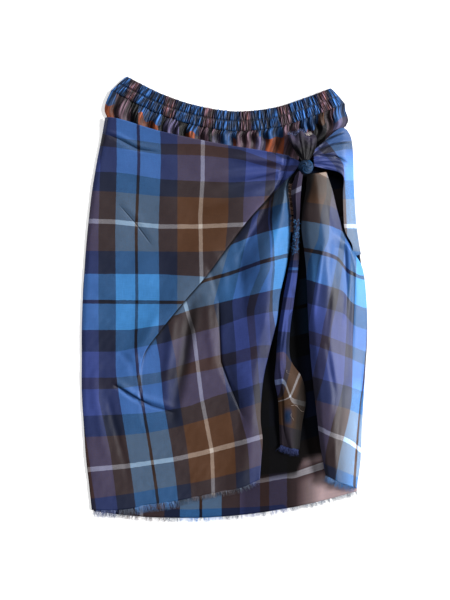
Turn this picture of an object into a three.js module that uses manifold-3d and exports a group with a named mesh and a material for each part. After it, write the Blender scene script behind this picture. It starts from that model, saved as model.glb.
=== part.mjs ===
// A pull-on skirt with a checked cloth wrapped over it and knotted at the hip, laid on its back.
// Millimetres. +X is towards the knot's side, +Y towards the waist, +Z up from the surface.
import * as THREE from "three";
import { mergeVertices } from "three/addons/utils/BufferGeometryUtils.js";
import Module from "manifold-3d";

const wasm = await Module();
wasm.setup();

// ---- Driving dimensions ----

const WRAP_WALL = 1.2; // thickness of the wrapped cloth
const FOLDED_WALL = 1; // thickness of the cloth where it folds back on itself
const YOKE_WALL = 1; // thickness of the base skirt's cloth
const CASING_WALL = 1.6; // thickness of the elastic casing
const SEAM_GAP = 0.45; // space between pieces that meet at a seam
const CASING_HEIGHT = 30; // two shirred rows of 15 mm
const CASING_FLARE = 12; // how far the ends of its lower edge reach out
const CASING_FLARE_REACH = 0.05; // share of its length over which they do
const CASING_GATHERS = 76; // gathers across the front of the casing
const CASING_GATHER_RISE = 1.9; // height of a casing gather over its valleys
const YOKE_GATHERS = 19; // puffs below the casing across the front
const YOKE_HIDDEN = 34; // how far the yoke runs on under the wrap
const FRINGE_GAP = 0.7; // space between a cloth edge and its fringe's backing strip
const STRIP_WIDTH = 1.6; // width of a fringe's backing strip
const STRIP_WALL = 0.9; // thickness of that strip
const STRAND_RADIUS = 0.62; // half the width of a bunch of loose threads at its root

const COLOURS = {
  casing: 0x3f6ca6,
  yoke: 0x5a5f92,
  wrap: 0x445f9a,
  lining: 0x3a3f55,
  knot: 0x3f6f9f,
  fringe: 0x4f7fb5,
};

// ---- Tables: places in millimetres, a row for each section or fold ----

// The casing's upper edge, from the left fold to the right one.
const CASING_EDGE = [
  { x: -146, y: 333.5 },
  { x: -96, y: 308.5 },
  { x: -43, y: 290.5 },
  { x: 15, y: 281.5 },
  { x: 72, y: 286.5 },
  { x: 118, y: 300.5 },
  { x: 159, y: 316 },
];

// The yoke's rows below the casing: the places of its sides and middle, and its height.
const YOKE_ROWS = [
  { left: [-176, 299], middle: [14, 246], right: [181, 283], z: 6, puff: 3.2 },
  { left: [-179.5, 287], middle: [18, 238], right: [184.5, 273], z: 6, puff: 3.4 },
  { left: [-178, 277], middle: [18, 231], right: [184.5, 264], z: 5.8, puff: 1.8 },
  { left: [-169, 262], middle: [18, 217], right: [175, 250], z: 4.7, puff: 0.3 },
  { left: [-166, 240], middle: [18, 197], right: [169, 228], z: 4.7, puff: 0 },
];
const YOKE_SIDE = 4.1; // height of the front yoke at its side folds

// The back of the wrap: its sides, and how far its middle hangs below the line between them.
const BACK_ROWS = [
  { left: [-178, 262], right: [184, 254], sag: 27 },
  { left: [-188, 216], right: [189, 212], sag: 14 },
  { left: [-199, 149], right: [193, 149], sag: 3 },
  { left: [-209.5, 50], right: [203, 68], sag: 0 },
  { left: [-213, -15], right: [211.5, -15], sag: 0 },
  { left: [-213, -139], right: [210, -115], sag: 3 },
  { left: [-207, -240], right: [204, -225], sag: 14 },
  { left: [-196, -318], right: [198.5, -281], sag: 23 },
];

// The front of the wrap, from its upper edge to its hem. Each row runs from the left fold to the
// slanting pleat's edge, under it by `hidden`, and on over a valley and a ridge to the free edge.
const FRONT_ROWS = [
  {
    left: [-179, 272], body: 11.8, bow: 4, pleat: [88, 216], hidden: 12, lift: 7.5,
    valley: [97, 212.5, 14], ridge: [105, 209, 17], edge: [112.4, 204.5, 18],
  },
  {
    left: [-184, 243], body: 8.4, bow: 2, pleat: [84, 196], hidden: 13, lift: 8,
    valley: [93, 194, 11], ridge: [101, 194, 15], edge: [109.2, 196.5, 18],
  },
  {
    left: [-191, 208], body: 6.6, bow: 0, pleat: [77, 169], hidden: 15, lift: 9,
    valley: [86, 167.5, 11], ridge: [91, 169.5, 15], edge: [96, 175, 12],
  },
  {
    left: [-199, 159], body: 5.5, bow: 0, pleat: [65, 151], hidden: 24, lift: 10.5,
    valley: [77, 147, 8], ridge: [88, 147, 23], edge: [97, 148, 13],
  },
  {
    left: [-204, 115], body: 5.2, bow: 0, pleat: [37, 120], hidden: 25, lift: 10.5,
    valley: [56, 118, 8.5], ridge: [82, 117, 25], edge: [100.5, 118, 12],
  },
  {
    left: [-208, 73], body: 5.2, bow: 0, pleat: [7, 81], hidden: 25, lift: 9.5,
    valley: [35, 81, 8.5], ridge: [72, 82, 26], edge: [98, 84, 12],
  },
  {
    left: [-211, 28], body: 5.2, bow: 0, pleat: [-26, 36], hidden: 23, lift: 9,
    valley: [14, 40, 7], ridge: [62, 42, 26], edge: [92, 45, 11],
  },
  {
    left: [-213, -9], body: 5.2, bow: 0, pleat: [-58, -1], hidden: 19, lift: 8,
    valley: [-7, 0, 5.5], ridge: [62, 2, 20], edge: [83, 6, 10],
  },
  {
    left: [-214, -46], body: 5.2, bow: 0, pleat: [-94, -45], hidden: 13, lift: 7,
    valley: [-8, -40, 5], ridge: [58, -37, 18], edge: [78, -34, 10],
  },
  {
    left: [-214, -88], body: 5.2, bow: 0, pleat: [-121, -84], hidden: 5, lift: 4.5,
    valley: [-7, -81, 5], ridge: [48, -78, 15], edge: [68, -75, 9.5],
  },
  {
    left: [-214, -139], body: 5, bow: 0, pleat: [-129, -133], hidden: 0, lift: 2.4,
    valley: [8, -130, 6], ridge: [42, -126, 13.5], edge: [58, -121, 9],
  },
  {
    left: [-211, -189], body: 4.6, bow: 0, pleat: [-124, -187], hidden: 0, lift: 1.6,
    valley: [19, -180, 8], ridge: [40, -178, 13], edge: [54, -175, 9],
  },
  {
    left: [-208, -234], body: 4.2, bow: 0, pleat: [-117, -229], hidden: 0, lift: 1,
    valley: [10, -222, 7], ridge: [38, -217, 12], edge: [57, -211, 8.5],
  },
  {
    left: [-203, -279], body: 4, bow: 2, pleat: [-109, -273], hidden: 0, lift: 0.6,
    valley: [0, -257, 5.5], ridge: [33, -249, 10], edge: [55, -241, 7.5],
  },
  {
    left: [-199, -316], body: 3.8, bow: 4, pleat: [-106, -307], hidden: 0, lift: 0.4,
    valley: [-13, -290, 4.6], ridge: [25, -282, 8], edge: [53, -270, 6.5],
  },
];

// The stretch round the hip, from the knot to its point: its inner edge, a line along it, and the
// fold at the side.
const HIP_ROWS = [
  { inner: [132.8, 198, 19], along: [133, 208, 21], outer: [130.5, 219, 18] },
  { inner: [152, 194, 17], along: [153, 214, 21], outer: [151, 238, 12] },
  { inner: [170, 189, 17], along: [175, 217, 18], outer: [174, 256, 8] },
  { inner: [178, 180, 16.5], along: [184, 210, 13], outer: [187.5, 247, 3.2] },
  { inner: [178.5, 160, 15], along: [187, 188, 10.5], outer: [192.5, 222, 2.8] },
  { inner: [179, 131, 14], along: [188, 147, 10], outer: [194, 171, 2.8] },
  { inner: [182, 102, 13.5], along: [190, 109, 9.5], outer: [197, 120, 2.8] },
  { inner: [191, 81, 10], along: [196, 84, 7], outer: [201, 88, 2.8] },
];

// The right drape, from the knot to its hem: its free edge, ridge, crest, slope, second ridge and
// the fold at the side.
const DRAPE_ROWS = [
  { edge: [123, 186.3, 18], ridge: [129, 186.8, 20], crest: [135, 187.4, 21], slope: [141, 188, 20],
    second: [147, 189, 18], side: [152, 190, 15] },
  { edge: [121, 160, 16], ridge: [129, 161, 21.5], crest: [138, 162, 24], slope: [146, 162, 22.5],
    second: [153, 162, 19], side: [159, 162, 14] },
  { edge: [116, 132, 17], ridge: [126, 133, 24], crest: [140, 133, 27.5], slope: [151, 133, 24],
    second: [159, 133, 18.5], side: [165, 133, 12] },
  { edge: [115, 103, 18], ridge: [126, 103, 25.5], crest: [145, 103, 30], slope: [158, 102, 25],
    second: [167, 102, 18], side: [176, 101, 9] },
  { edge: [119, 70, 18], ridge: [130, 70, 26], crest: [148, 71, 30], slope: [179, 71, 12.5],
    second: [187, 72, 13.5], side: [194, 70, 5] },
  { edge: [122, 40, 18], ridge: [133, 40, 26], crest: [151, 40, 29.5], slope: [179, 41, 13],
    second: [191, 42, 13.5], side: [207.5, 44, 2.8] },
  { edge: [124, -12, 18], ridge: [135, -11, 25.5], crest: [157, -10, 29], slope: [176, -8, 20.5],
    second: [193, -7, 11.5], side: [213, -6, 2.8] },
  { edge: [127, -69, 18], ridge: [138, -68, 25.5], crest: [153, -66, 28.5], slope: [171, -63, 21],
    second: [192, -61, 11.5], side: [214, -58, 2.8] },
  { edge: [131, -115, 18], ridge: [142, -113, 24.5], crest: [161, -110, 28], slope: [176, -106, 21],
    second: [193, -103, 12], side: [211.5, -100, 2.8] },
  { edge: [136, -159, 18], ridge: [146, -156, 24], crest: [161, -153, 26.5], slope: [176, -149, 19.5],
    second: [191, -146, 11], side: [209, -142, 2.8] },
  { edge: [141, -204, 17], ridge: [149, -202, 22.5], crest: [161, -199, 25], slope: [174, -196, 19],
    second: [189, -193, 11], side: [206, -189, 2.8] },
  { edge: [146, -238, 15], ridge: [153, -238, 20], crest: [164, -240, 21.5], slope: [176, -241, 16.5],
    second: [189, -241, 9.5], side: [204, -241, 2.8] },
  { edge: [151, -264, 13], ridge: [156, -266, 17], crest: [166, -271, 17.5], slope: [177, -276, 13],
    second: [188, -280, 8], side: [198, -284, 2.8] },
];

// The tail, from the knot to its frayed end: its left edge, crest and right edge.
const TAIL_ROWS = [
  { left: [105, 183, 21], crest: [111, 190, 26], right: [117, 187.2, 21] },
  { left: [99.5, 160, 21], crest: [107, 160, 26], right: [114, 160, 18] },
  { left: [102.5, 128, 20], crest: [108, 128, 24], right: [112.6, 128, 15] },
  { left: [102, 95, 17], crest: [107, 95, 20], right: [112, 95, 12] },
  { left: [99, 66, 11], crest: [104, 66, 18], right: [112, 66, 11] },
  { left: [94, 36, 10], crest: [100, 36, 17], right: [109, 36, 10] },
  { left: [87, -3, 9], crest: [94, -3, 16], right: [104, -3, 9] },
  { left: [80, -50, 7], crest: [88, -50, 15], right: [98, -50, 8] },
  { left: [77, -92, 6], crest: [88, -92, 16], right: [99, -90, 7] },
  { left: [75, -121, 6], crest: [94, -122, 17], right: [116, -118, 8] },
  { left: [80, -151, 6], crest: [98, -152, 14], right: [122, -150, 7] },
  { left: [82, -190, 5], crest: [98, -192, 12], right: [116, -188, 6] },
  { left: [83, -218, 4], crest: [97, -223, 9], right: [112, -226, 5] },
];

// The short corner above the knot.
const CORNER_ROWS = [
  { left: [115, 205.2, 24.5], crest: [120.5, 207.3, 26], right: [126, 206.7, 24.5] },
  { left: [105, 219, 22], crest: [119, 221, 27], right: [134, 219, 22] },
  { left: [99, 231, 21], crest: [116, 233, 25], right: [137, 237, 22] },
];

const KNOT = { centre: [121.5, 197, 21], radii: [11.6, 11, 11], twist: 0.35 };

// Folds that run over the front of the wrap, as soft ridges (rise above 0) and troughs.
const FRONT_FOLDS = [
  { from: [92, 204], to: [10, 210], width: 5, rise: 3.2 },
  { from: [88, 197], to: [-5, 190], width: 5, rise: -2.4 },
  { from: [85, 193], to: [-20, 176], width: 6, rise: 3.4 },
  { from: [80, 183], to: [-15, 158], width: 6, rise: -2.6 },
  { from: [76, 175], to: [-30, 132], width: 7, rise: 3 },
  { from: [-179, 247], to: [-130, 224], width: 5, rise: 2.6 },
  { from: [-157, 140], to: [-108, 80], width: 6, rise: 2.8 },
  { from: [-162, -132], to: [-88, -166], width: 7, rise: 2.6 },
];

// Fringes: how many bunches of threads, and their length and its spread.
const FRINGES = {
  back: { count: 72, length: 6.5, spread: 3, lean: 1.6 },
  front: { count: 44, length: 11, spread: 4.5, lean: 3 },
  drape: { count: 12, length: 9, spread: 3, lean: 2 },
  tailSide: { count: 14, length: 4.4, spread: 2, lean: 2.5 },
  tailEnd: { count: 9, length: 10, spread: 5, lean: 4 },
  corner: { count: 12, length: 6, spread: 2.5, lean: 2 },
};

// ---- Curves and surfaces through a table ----

// Catmull-Rom through equally spaced lists of numbers, at t from 0 to 1.
function through(lists, t) {
  const span = Math.min(Math.max(t, 0), 1) * (lists.length - 1);
  const i = Math.min(Math.floor(span), lists.length - 2);
  const f = span - i;
  const [b, c] = [lists[i], lists[i + 1]];
  const a = lists[i - 1] ?? b.map((value, k) => 2 * value - c[k]);
  const d = lists[i + 2] ?? c.map((value, k) => 2 * value - b[k]);
  return b.map((value, k) => {
    const slopeIn = (c[k] - a[k]) / 2;
    const slopeOut = (d[k] - value) / 2;
    const bend = 3 * (c[k] - value) - 2 * slopeIn - slopeOut;
    const twist = slopeIn + slopeOut - 2 * (c[k] - value);
    return value + f * (slopeIn + f * (bend + f * twist));
  });
}

// A smooth curve through points that lie unevenly apart, at t from 0 to 1 with equal shares of t
// for each stretch. It turns at a point only where the points do, so no stretch is overshot.
function curveThrough(points, t) {
  const span = Math.min(Math.max(t, 0), 1) * (points.length - 1);
  const i = Math.min(Math.floor(span), points.length - 2);
  const f = span - i;
  const lengthOf = (k) =>
    Math.hypot(...points[k + 1].map((value, axis) => value - points[k][axis]));
  const [before, here, after] = [Math.max(i - 1, 0), i, Math.min(i + 1, points.length - 2)];
  const lengths = [before, here, after].map(lengthOf);
  return points[i].map((value, axis) => {
    const slopes = [before, here, after].map(
      (k, n) => (points[k + 1][axis] - points[k][axis]) / lengths[n],
    );
    const slopeAt = (one, other) => {
      if (slopes[one] * slopes[other] <= 0) return 0;
      const [near, far] = [2 * lengths[other] + lengths[one], lengths[other] + 2 * lengths[one]];
      return (near + far) / (near / slopes[one] + far / slopes[other]);
    };
    const slopeIn = lengths[1] * (before === here ? slopes[1] : slopeAt(0, 1));
    const slopeOut = lengths[1] * (after === here ? slopes[1] : slopeAt(1, 2));
    const rise = points[i + 1][axis] - value;
    const bend = 3 * rise - 2 * slopeIn - slopeOut;
    const twist = slopeIn + slopeOut - 2 * rise;
    return value + f * (slopeIn + f * (bend + f * twist));
  });
}

// A surface over rows of points: v runs down the rows, and u along a row.
function surfaceThrough(rows) {
  const flat = rows.map((row) => row.flat());
  return (u, v) => {
    const row = through(flat, v);
    return curveThrough(rows[0].map((_, i) => row.slice(3 * i, 3 * i + 3)), u);
  };
}

const mix = (a, b, t) => a + (b - a) * t;
const mixPoint = (a, b, t) => a.map((value, i) => mix(value, b[i], t));

// Shares from 0 to 1, with the given number of steps between one node and the next.
function stepsBetween(steps) {
  const shares = [0];
  steps.forEach((count, i) => {
    for (let k = 1; k <= count; k++) shares.push((i + k / count) / steps.length);
  });
  return shares;
}

const even = (count) => Array.from({ length: count + 1 }, (_, i) => i / count);

// The same number from 0 to 1 each time for the same seed.
function scatter(seed) {
  const value = Math.sin(seed * 12.9898 + 4.1414) * 43758.5453;
  return value - Math.floor(value);
}

// How much the folds of a table raise the cloth at a place.
function foldRise(folds, x, y) {
  let rise = 0;
  for (const { from, to, width, rise: height } of folds) {
    const run = [to[0] - from[0], to[1] - from[1]];
    const length = Math.hypot(...run);
    const share = ((x - from[0]) * run[0] + (y - from[1]) * run[1]) / length ** 2;
    if (share < 0 || share > 1) continue;
    const aside = ((x - from[0]) * run[1] - (y - from[1]) * run[0]) / length;
    const fade = Math.sin(Math.PI * share ** 0.6);
    rise += height * fade * Math.exp(-((aside / width) ** 2));
  }
  return rise;
}

// ---- Solids ----

function geometryOf(points, triangles) {
  const geometry = new THREE.BufferGeometry();
  geometry.setAttribute("position", new THREE.Float32BufferAttribute(points.flat(), 3));
  geometry.setIndex(triangles.flat());
  return geometry;
}

// A closed wall: the grid's points are its upper face, and the lower face lies `wall` below it
// along the surface's own normal.
function wallOf(grid, wall) {
  const down = grid.length;
  const across = grid[0].length;
  const at = (i, j) => new THREE.Vector3(...grid[i][j]);
  const upper = [];
  const lower = [];
  for (let i = 0; i < down; i++)
    for (let j = 0; j < across; j++) {
      const alongRow = at(i, Math.min(j + 1, across - 1)).sub(at(i, Math.max(j - 1, 0)));
      const downRows = at(Math.max(i - 1, 0), j).sub(at(Math.min(i + 1, down - 1), j));
      const normal = alongRow.cross(downRows).normalize();
      upper.push(grid[i][j]);
      lower.push(at(i, j).addScaledVector(normal, -wall).toArray());
    }
  const count = upper.length;
  const triangles = [];
  const quad = (a, b, c, d) => triangles.push([a, b, c], [a, c, d]);
  const id = (i, j) => i * across + j;
  for (let i = 0; i < down - 1; i++)
    for (let j = 0; j < across - 1; j++) {
      quad(id(i, j), id(i + 1, j), id(i + 1, j + 1), id(i, j + 1));
      quad(
        id(i, j) + count,
        id(i, j + 1) + count,
        id(i + 1, j + 1) + count,
        id(i + 1, j) + count,
      );
    }
  for (let i = 0; i < down - 1; i++) {
    quad(id(i, 0), id(i, 0) + count, id(i + 1, 0) + count, id(i + 1, 0));
    const last = across - 1;
    quad(id(i + 1, last), id(i + 1, last) + count, id(i, last) + count, id(i, last));
  }
  for (let j = 0; j < across - 1; j++) {
    quad(id(0, j + 1), id(0, j + 1) + count, id(0, j) + count, id(0, j));
    const last = down - 1;
    quad(id(last, j), id(last, j) + count, id(last, j + 1) + count, id(last, j + 1));
  }
  return geometryOf([...upper, ...lower], triangles);
}

function gridOf(surface, us, vs) {
  return vs.map((v) => us.map((u) => surface(u, v)));
}

function toManifold(geometry) {
  const bare = new THREE.BufferGeometry();
  bare.setAttribute("position", geometry.getAttribute("position"));
  bare.setIndex(geometry.index);
  const merged = mergeVertices(bare, 1e-4);
  const vertProperties = merged.attributes.position.array;
  const triVerts = new Uint32Array(merged.index.array);
  return new wasm.Manifold(new wasm.Mesh({ numProp: 3, vertProperties, triVerts }));
}

function fromManifold(solid) {
  const mesh = solid.getMesh();
  const geometry = new THREE.BufferGeometry();
  geometry.setAttribute("position", new THREE.BufferAttribute(mesh.vertProperties, 3));
  geometry.setIndex(new THREE.BufferAttribute(mesh.triVerts, 1));
  return geometry;
}

const skirt = new THREE.Group();

function add(name, geometry, colour) {
  const material = new THREE.MeshStandardMaterial({ color: colour, roughness: 0.7, metalness: 0 });
  material.side = THREE.DoubleSide;
  const mesh = new THREE.Mesh(geometry, material);
  mesh.name = name;
  skirt.add(mesh);
}

// ---- Casing ----

const casingEdge = (u) => through(CASING_EDGE.map(({ x, y }) => [x, y]), u);

// A place on the casing, u from the left fold to the right, and v from its upper edge down.
function casingPlace(u, v) {
  const step = 0.004;
  const before = casingEdge(u - step);
  const after = casingEdge(u + step);
  const run = [after[0] - before[0], after[1] - before[1]];
  const length = Math.hypot(...run);
  const [x, y] = casingEdge(u);
  const down = CASING_HEIGHT * v;
  const ends = Math.exp((u - 1) / CASING_FLARE_REACH) - Math.exp(-u / CASING_FLARE_REACH);
  const out = CASING_FLARE * v ** 0.8 * ends;
  return [x + (run[1] * down + run[0] * out) / length, y + (run[1] * out - run[0] * down) / length];
}

const CASING_ROWS = [0, 0.22, 0.5, 0.76, 1];
const STITCHED = [0.55, 1, 0.15, 1, 0.2]; // how full the gathers are at each of those rows

function makeCasing() {
  const columns = 2 * CASING_GATHERS;
  const grid = CASING_ROWS.map((v, i) =>
    even(columns).map((u, j) => {
      const [x, y] = casingPlace(u, v);
      const round = Math.min(1, Math.sin(Math.PI * u) * 5);
      const crest = (j % 2) * STITCHED[i] * (0.7 + 0.5 * scatter(j + 40 * i));
      const low = 1.5 + SEAM_GAP + CASING_WALL + 1.6 * round;
      return [x, y, low + CASING_GATHER_RISE * crest * round + 0.5 * STITCHED[i]];
    }),
  );
  add("waistband_front", wallOf(grid, CASING_WALL), COLOURS.casing);
  const back = gridOf((u, v) => [...casingPlace(u, v), 1.4], even(24), [0, 0.5, 1]);
  add("waistband_back", wallOf(back, 1.4), COLOURS.casing);
}

// ---- Yoke ----

// The upper edge of the wrap's back.
function backEdge(u) {
  const { left, right, sag } = BACK_ROWS[0];
  const [x, y] = mixPoint(left, right, u);
  return [x, y - 4 * u * (1 - u) * sag];
}

// The yoke's upper edge follows the casing, and its other rows are the table's.
function yokeSurface(u, v) {
  const top = casingPlace(u, 1 + SEAM_GAP / CASING_HEIGHT);
  const rows = YOKE_ROWS.map(({ left, middle, right }) => {
    const bow = 4 * u * (1 - u);
    const line = mixPoint(left, right, u);
    return [line[0], line[1] + bow * (middle[1] - (left[1] + right[1]) / 2)];
  });
  return through([top, ...rows], v);
}

function yokePuff(u, v) {
  const rows = [{ z: 4.6, puff: 0.6 }, ...YOKE_ROWS].map(({ z, puff }) => [z, puff]);
  const [z, puff] = through(rows, v);
  const wander = 0.35 * Math.sin(7 * u + 2) + 0.25 * Math.sin(23 * u);
  const wave = 0.5 - 0.5 * Math.cos(2 * Math.PI * (YOKE_GATHERS * u + wander));
  const side = Math.min(1, 9 * Math.sin(Math.PI * u));
  return YOKE_SIDE + (z + puff * (2 * wave - 0.8) - YOKE_SIDE) * side;
}

function makeYoke() {
  const vs = [0, 0.09, 0.2, 0.34, 0.48, 0.6, 0.78, 1];
  const front = gridOf(
    (u, v) => [...yokeSurface(u, v), yokePuff(u, v)],
    even(4 * YOKE_GATHERS),
    vs,
  );
  add("yoke_front", wallOf(front, YOKE_WALL), COLOURS.yoke);

  const over = YOKE_WALL + WRAP_WALL + SEAM_GAP;
  const back = [even(24).map((u) => [...casingPlace(u, 1 + SEAM_GAP / CASING_HEIGHT), YOKE_WALL])];
  for (const { inset, above, z } of [
    { inset: 1, above: 8, z: YOKE_WALL },
    { inset: 5, above: 1.5, z: over },
    { inset: 10, above: -YOKE_HIDDEN, z: over },
  ])
    back.push(even(24).map((u) => {
      const [x, y] = backEdge(u);
      return [x + mix(inset, -inset, u), y + above, z];
    }));
  add("yoke_back", wallOf(back, YOKE_WALL), COLOURS.lining);
}

// ---- Wrap ----

function makeWrapBack() {
  const rows = BACK_ROWS.map(({ left, right, sag }) =>
    even(8).map((u) => {
      const [x, y] = mixPoint(left, right, u);
      return [x, y - 4 * u * (1 - u) * sag, WRAP_WALL];
    }),
  );
  const surface = surfaceThrough(rows);
  add("wrap_back", wallOf(gridOf(surface, even(12), even(14)), WRAP_WALL), COLOURS.lining);
  return surface;
}

// The pleat's stations: where each lies along the row while the pleat is open and, in shares of
// its hidden depth, once it is folded, and its height as a share of the pleat's lift.
const PLEAT_STATIONS = [
  { open: -9, near: -9, deep: 0, height: 0.97 },
  { open: -1.5, near: -1.5, deep: 0, height: 0.97 },
  { open: 0, near: 0, deep: 0, height: 0.8 },
  { open: 1.5, near: -1.5, deep: 0, height: 0.6 },
  { open: 3, near: 1.5, deep: -1, height: 0.42 },
  { open: 4.5, near: 0, deep: -1, height: 0.22 },
  { open: 6, near: 1.5, deep: -1, height: 0.03 },
  { open: 8, near: 0, deep: -0.5, height: 0 },
];
const FOLDED_FROM = 10; // the hidden depth from which the pleat lies fully folded

// One row of the front: the fold at the side, the body, the pleat and the drape.
function frontRow({ left, body, bow, pleat, hidden, lift, valley, ridge, edge }) {
  const length = Math.hypot(pleat[0] - left[0], pleat[1] - left[1]);
  const run = [(pleat[0] - left[0]) / length, (pleat[1] - left[1]) / length];
  const low = Math.min(body, valley[2]);
  const folded = Math.min(1, hidden / FOLDED_FROM);
  const bodyAt = (share, z) => {
    const [x, y] = mixPoint(left, pleat, share);
    return [x, y - 4 * share * (1 - share) * bow, z];
  };
  const stations = PLEAT_STATIONS.map(({ open, near, deep, height }) => {
    const shift = mix(open, near + deep * hidden, folded);
    return [pleat[0] + run[0] * shift, pleat[1] + run[1] * shift, low + height * lift];
  });
  return [
    [left[0], left[1], 1.6 + FOLDED_WALL],
    [left[0] + 7, left[1] - 0.2, body - 0.4],
    bodyAt(0.3, body),
    bodyAt(0.62, mix(body, low + lift, 0.25)),
    ...stations,
    valley,
    ridge,
    edge,
  ];
}

const frontSurface = surfaceThrough(FRONT_ROWS.map(frontRow));

function frontPlace(u, v) {
  const [x, y, z] = frontSurface(u, v);
  return [x, y, z + foldRise(FRONT_FOLDS, x, y)];
}

function makeWrapFront() {
  const us = stepsBetween([2, 3, 3, 3, 1, 1, 1, 2, 1, 1, 1, 2, 3, 3]);
  add("wrap_front", wallOf(gridOf(frontPlace, us, even(28)), FOLDED_WALL), COLOURS.wrap);
}

const hipSurface = surfaceThrough(HIP_ROWS.map(({ inner, along, outer }) => [inner, along, outer]));

// Pleats run along the hip's stretch and fade away from the knot.
function hipPlace(u, v) {
  const [x, y, z] = hipSurface(u, v);
  const fade = Math.max(0, 1 - 1.7 * v) * Math.sin(Math.PI * Math.min(1, 6 * v + 0.25));
  return [x, y, z + 1.6 * fade * Math.cos(2 * Math.PI * 3 * u)];
}

function makeWrapHip() {
  const geometry = wallOf(gridOf(hipPlace, even(9), even(17)), WRAP_WALL);
  add("wrap_hip", geometry, COLOURS.wrap);
}

const drapeSurface = surfaceThrough(
  DRAPE_ROWS.map(({ edge, ridge, crest, slope, second, side }) => [
    edge, ridge, crest, slope, second, side,
  ]),
);

function makeWrapDrape() {
  const us = stepsBetween([3, 2, 2, 3, 3]);
  add("wrap_drape", wallOf(gridOf(drapeSurface, us, even(26)), WRAP_WALL), COLOURS.wrap);
}

// ---- Knot ----

function makeKnot() {
  const [cx, cy, cz] = KNOT.centre;
  const [rx, ry, rz] = KNOT.radii;
  const ball = mergeVertices(new THREE.IcosahedronGeometry(1, 3).deleteAttribute("normal")
    .deleteAttribute("uv"), 1e-4);
  const places = ball.attributes.position;
  for (let i = 0; i < places.count; i++) {
    const [x, y, z] = [places.getX(i), places.getY(i), places.getZ(i)];
    const turn = Math.atan2(y, x) + KNOT.twist * 6 * z;
    const dent = 1 - 0.07 * (1 - z * z) * (0.5 + 0.5 * Math.cos(3 * turn));
    places.setXYZ(i, cx + rx * x * dent, cy + ry * y * dent, cz + rz * z * dent);
  }
  add("knot", ball, COLOURS.knot);
}

const tailSurface = surfaceThrough(TAIL_ROWS.map(({ left, crest, right }) => [left, crest, right]));
const cornerSurface = surfaceThrough(
  CORNER_ROWS.map(({ left, crest, right }) => [left, crest, right]),
);

function makeEnds() {
  add("knot_tail", wallOf(gridOf(tailSurface, even(6), even(30)), WRAP_WALL), COLOURS.knot);
  add("knot_corner", wallOf(gridOf(cornerSurface, even(8), even(5)), WRAP_WALL), COLOURS.knot);
}

// ---- Fringes ----

// A tapering bunch of threads with three sides, from its root to its tip.
function strandOf(root, tip, radius) {
  const run = new THREE.Vector3(...tip).sub(new THREE.Vector3(...root)).normalize();
  const aside = new THREE.Vector3(0, 0, 1).cross(run).normalize();
  const up = run.clone().cross(aside);
  const ring = [0, 1, 2].map((k) => {
    const angle = (2 * Math.PI * k) / 3 + Math.PI / 2;
    return new THREE.Vector3(...root)
      .addScaledVector(aside, radius * Math.cos(angle))
      .addScaledVector(up, radius * Math.sin(angle))
      .toArray();
  });
  return geometryOf([...ring, tip], [[0, 2, 1], [0, 1, 3], [1, 2, 3], [2, 0, 3]]);
}

// Evenly spaced places along an edge that is given as a function of a share from 0 to 1.
function evenlyAlong(edgeAt, count) {
  const curve = new THREE.CatmullRomCurve3(
    even(60).map((share) => new THREE.Vector3(...edgeAt(share))),
  );
  return curve.getSpacedPoints(count).map((point) => point.toArray());
}

// A strip beside an edge, with bunches of threads along it. `side` is 1 where outward lies to the
// right of the run, and `fall` is how far a tip may lie below its root.
function makeFringe(name, edgeAt, side, { count, length, spread, lean }, fall, seed) {
  const places = evenlyAlong(edgeAt, Math.max(5, Math.round(count / 3)));
  const last = places.length - 1;
  const outwardAt = (i) => {
    const [before, after] = [places[Math.max(i - 1, 0)], places[Math.min(i + 1, last)]];
    const run = [after[0] - before[0], after[1] - before[1]];
    const size = Math.hypot(...run);
    return [(side * run[1]) / size, (-side * run[0]) / size];
  };
  const rows = places.map(([x, y, z], i) => {
    const [ox, oy] = outwardAt(i);
    return [FRINGE_GAP, FRINGE_GAP + STRIP_WIDTH].map((away) => [x + ox * away, y + oy * away, z]);
  });
  const pieces = [toManifold(wallOf(side < 0 ? [...rows].reverse() : rows, STRIP_WALL))];
  for (let strand = 0; strand < count; strand++) {
    const share = ((strand + 0.5 + 0.5 * (scatter(seed + strand) - 0.5)) / count) * last;
    const i = Math.min(Math.floor(share), last - 1);
    const [inner, outer] = [0, 1].map((k) => mixPoint(rows[i][k], rows[i + 1][k], share - i));
    const root = mixPoint(inner, outer, 0.6);
    root[2] -= 0.5 * STRIP_WALL;
    const [ox, oy] = mixPoint(outwardAt(i), outwardAt(i + 1), share - i);
    const reach = length + spread * (scatter(seed + 3.3 * strand) - 0.5);
    const slip = lean * 2 * (scatter(seed + 7.7 * strand) - 0.5);
    const tip = [
      root[0] + ox * reach - oy * slip,
      root[1] + oy * reach + ox * slip,
      root[2] - fall * scatter(seed + 5.1 * strand),
    ];
    pieces.push(toManifold(strandOf(root, tip, STRAND_RADIUS)));
  }
  add(name, fromManifold(wasm.Manifold.union(pieces)), COLOURS.fringe);
}

function makeFringes(backSurface) {
  const backHem = (share) => {
    const [x, y] = backSurface(mix(0.01, 0.985, share), 1);
    return [x, y, WRAP_WALL];
  };
  const frontHem = (share) => frontPlace(mix(0.06, 0.985, share), 1);
  const drapeHem = (share) => drapeSurface(mix(0.04, 0.93, share), 1);
  const tailSide = (share) => tailSurface(0, mix(0.04, 0.24, share));
  const tailEnd = (share) => tailSurface(mix(0.05, 0.95, share), 1);
  const cornerEdge = (share) => cornerSurface(mix(0.03, 0.97, share), 1);
  makeFringe("fringe_back", backHem, 1, FRINGES.back, 0, 1);
  makeFringe("fringe_front", frontHem, 1, FRINGES.front, 0.4, 2);
  makeFringe("fringe_drape", drapeHem, 1, FRINGES.drape, 0.6, 3);
  makeFringe("fringe_tail_side", tailSide, 1, FRINGES.tailSide, 0.4, 4);
  makeFringe("fringe_tail_end", tailEnd, 1, FRINGES.tailEnd, 1, 5);
  makeFringe("fringe_corner", cornerEdge, -1, FRINGES.corner, 1, 6);
}

// ---- Assembly ----

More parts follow.
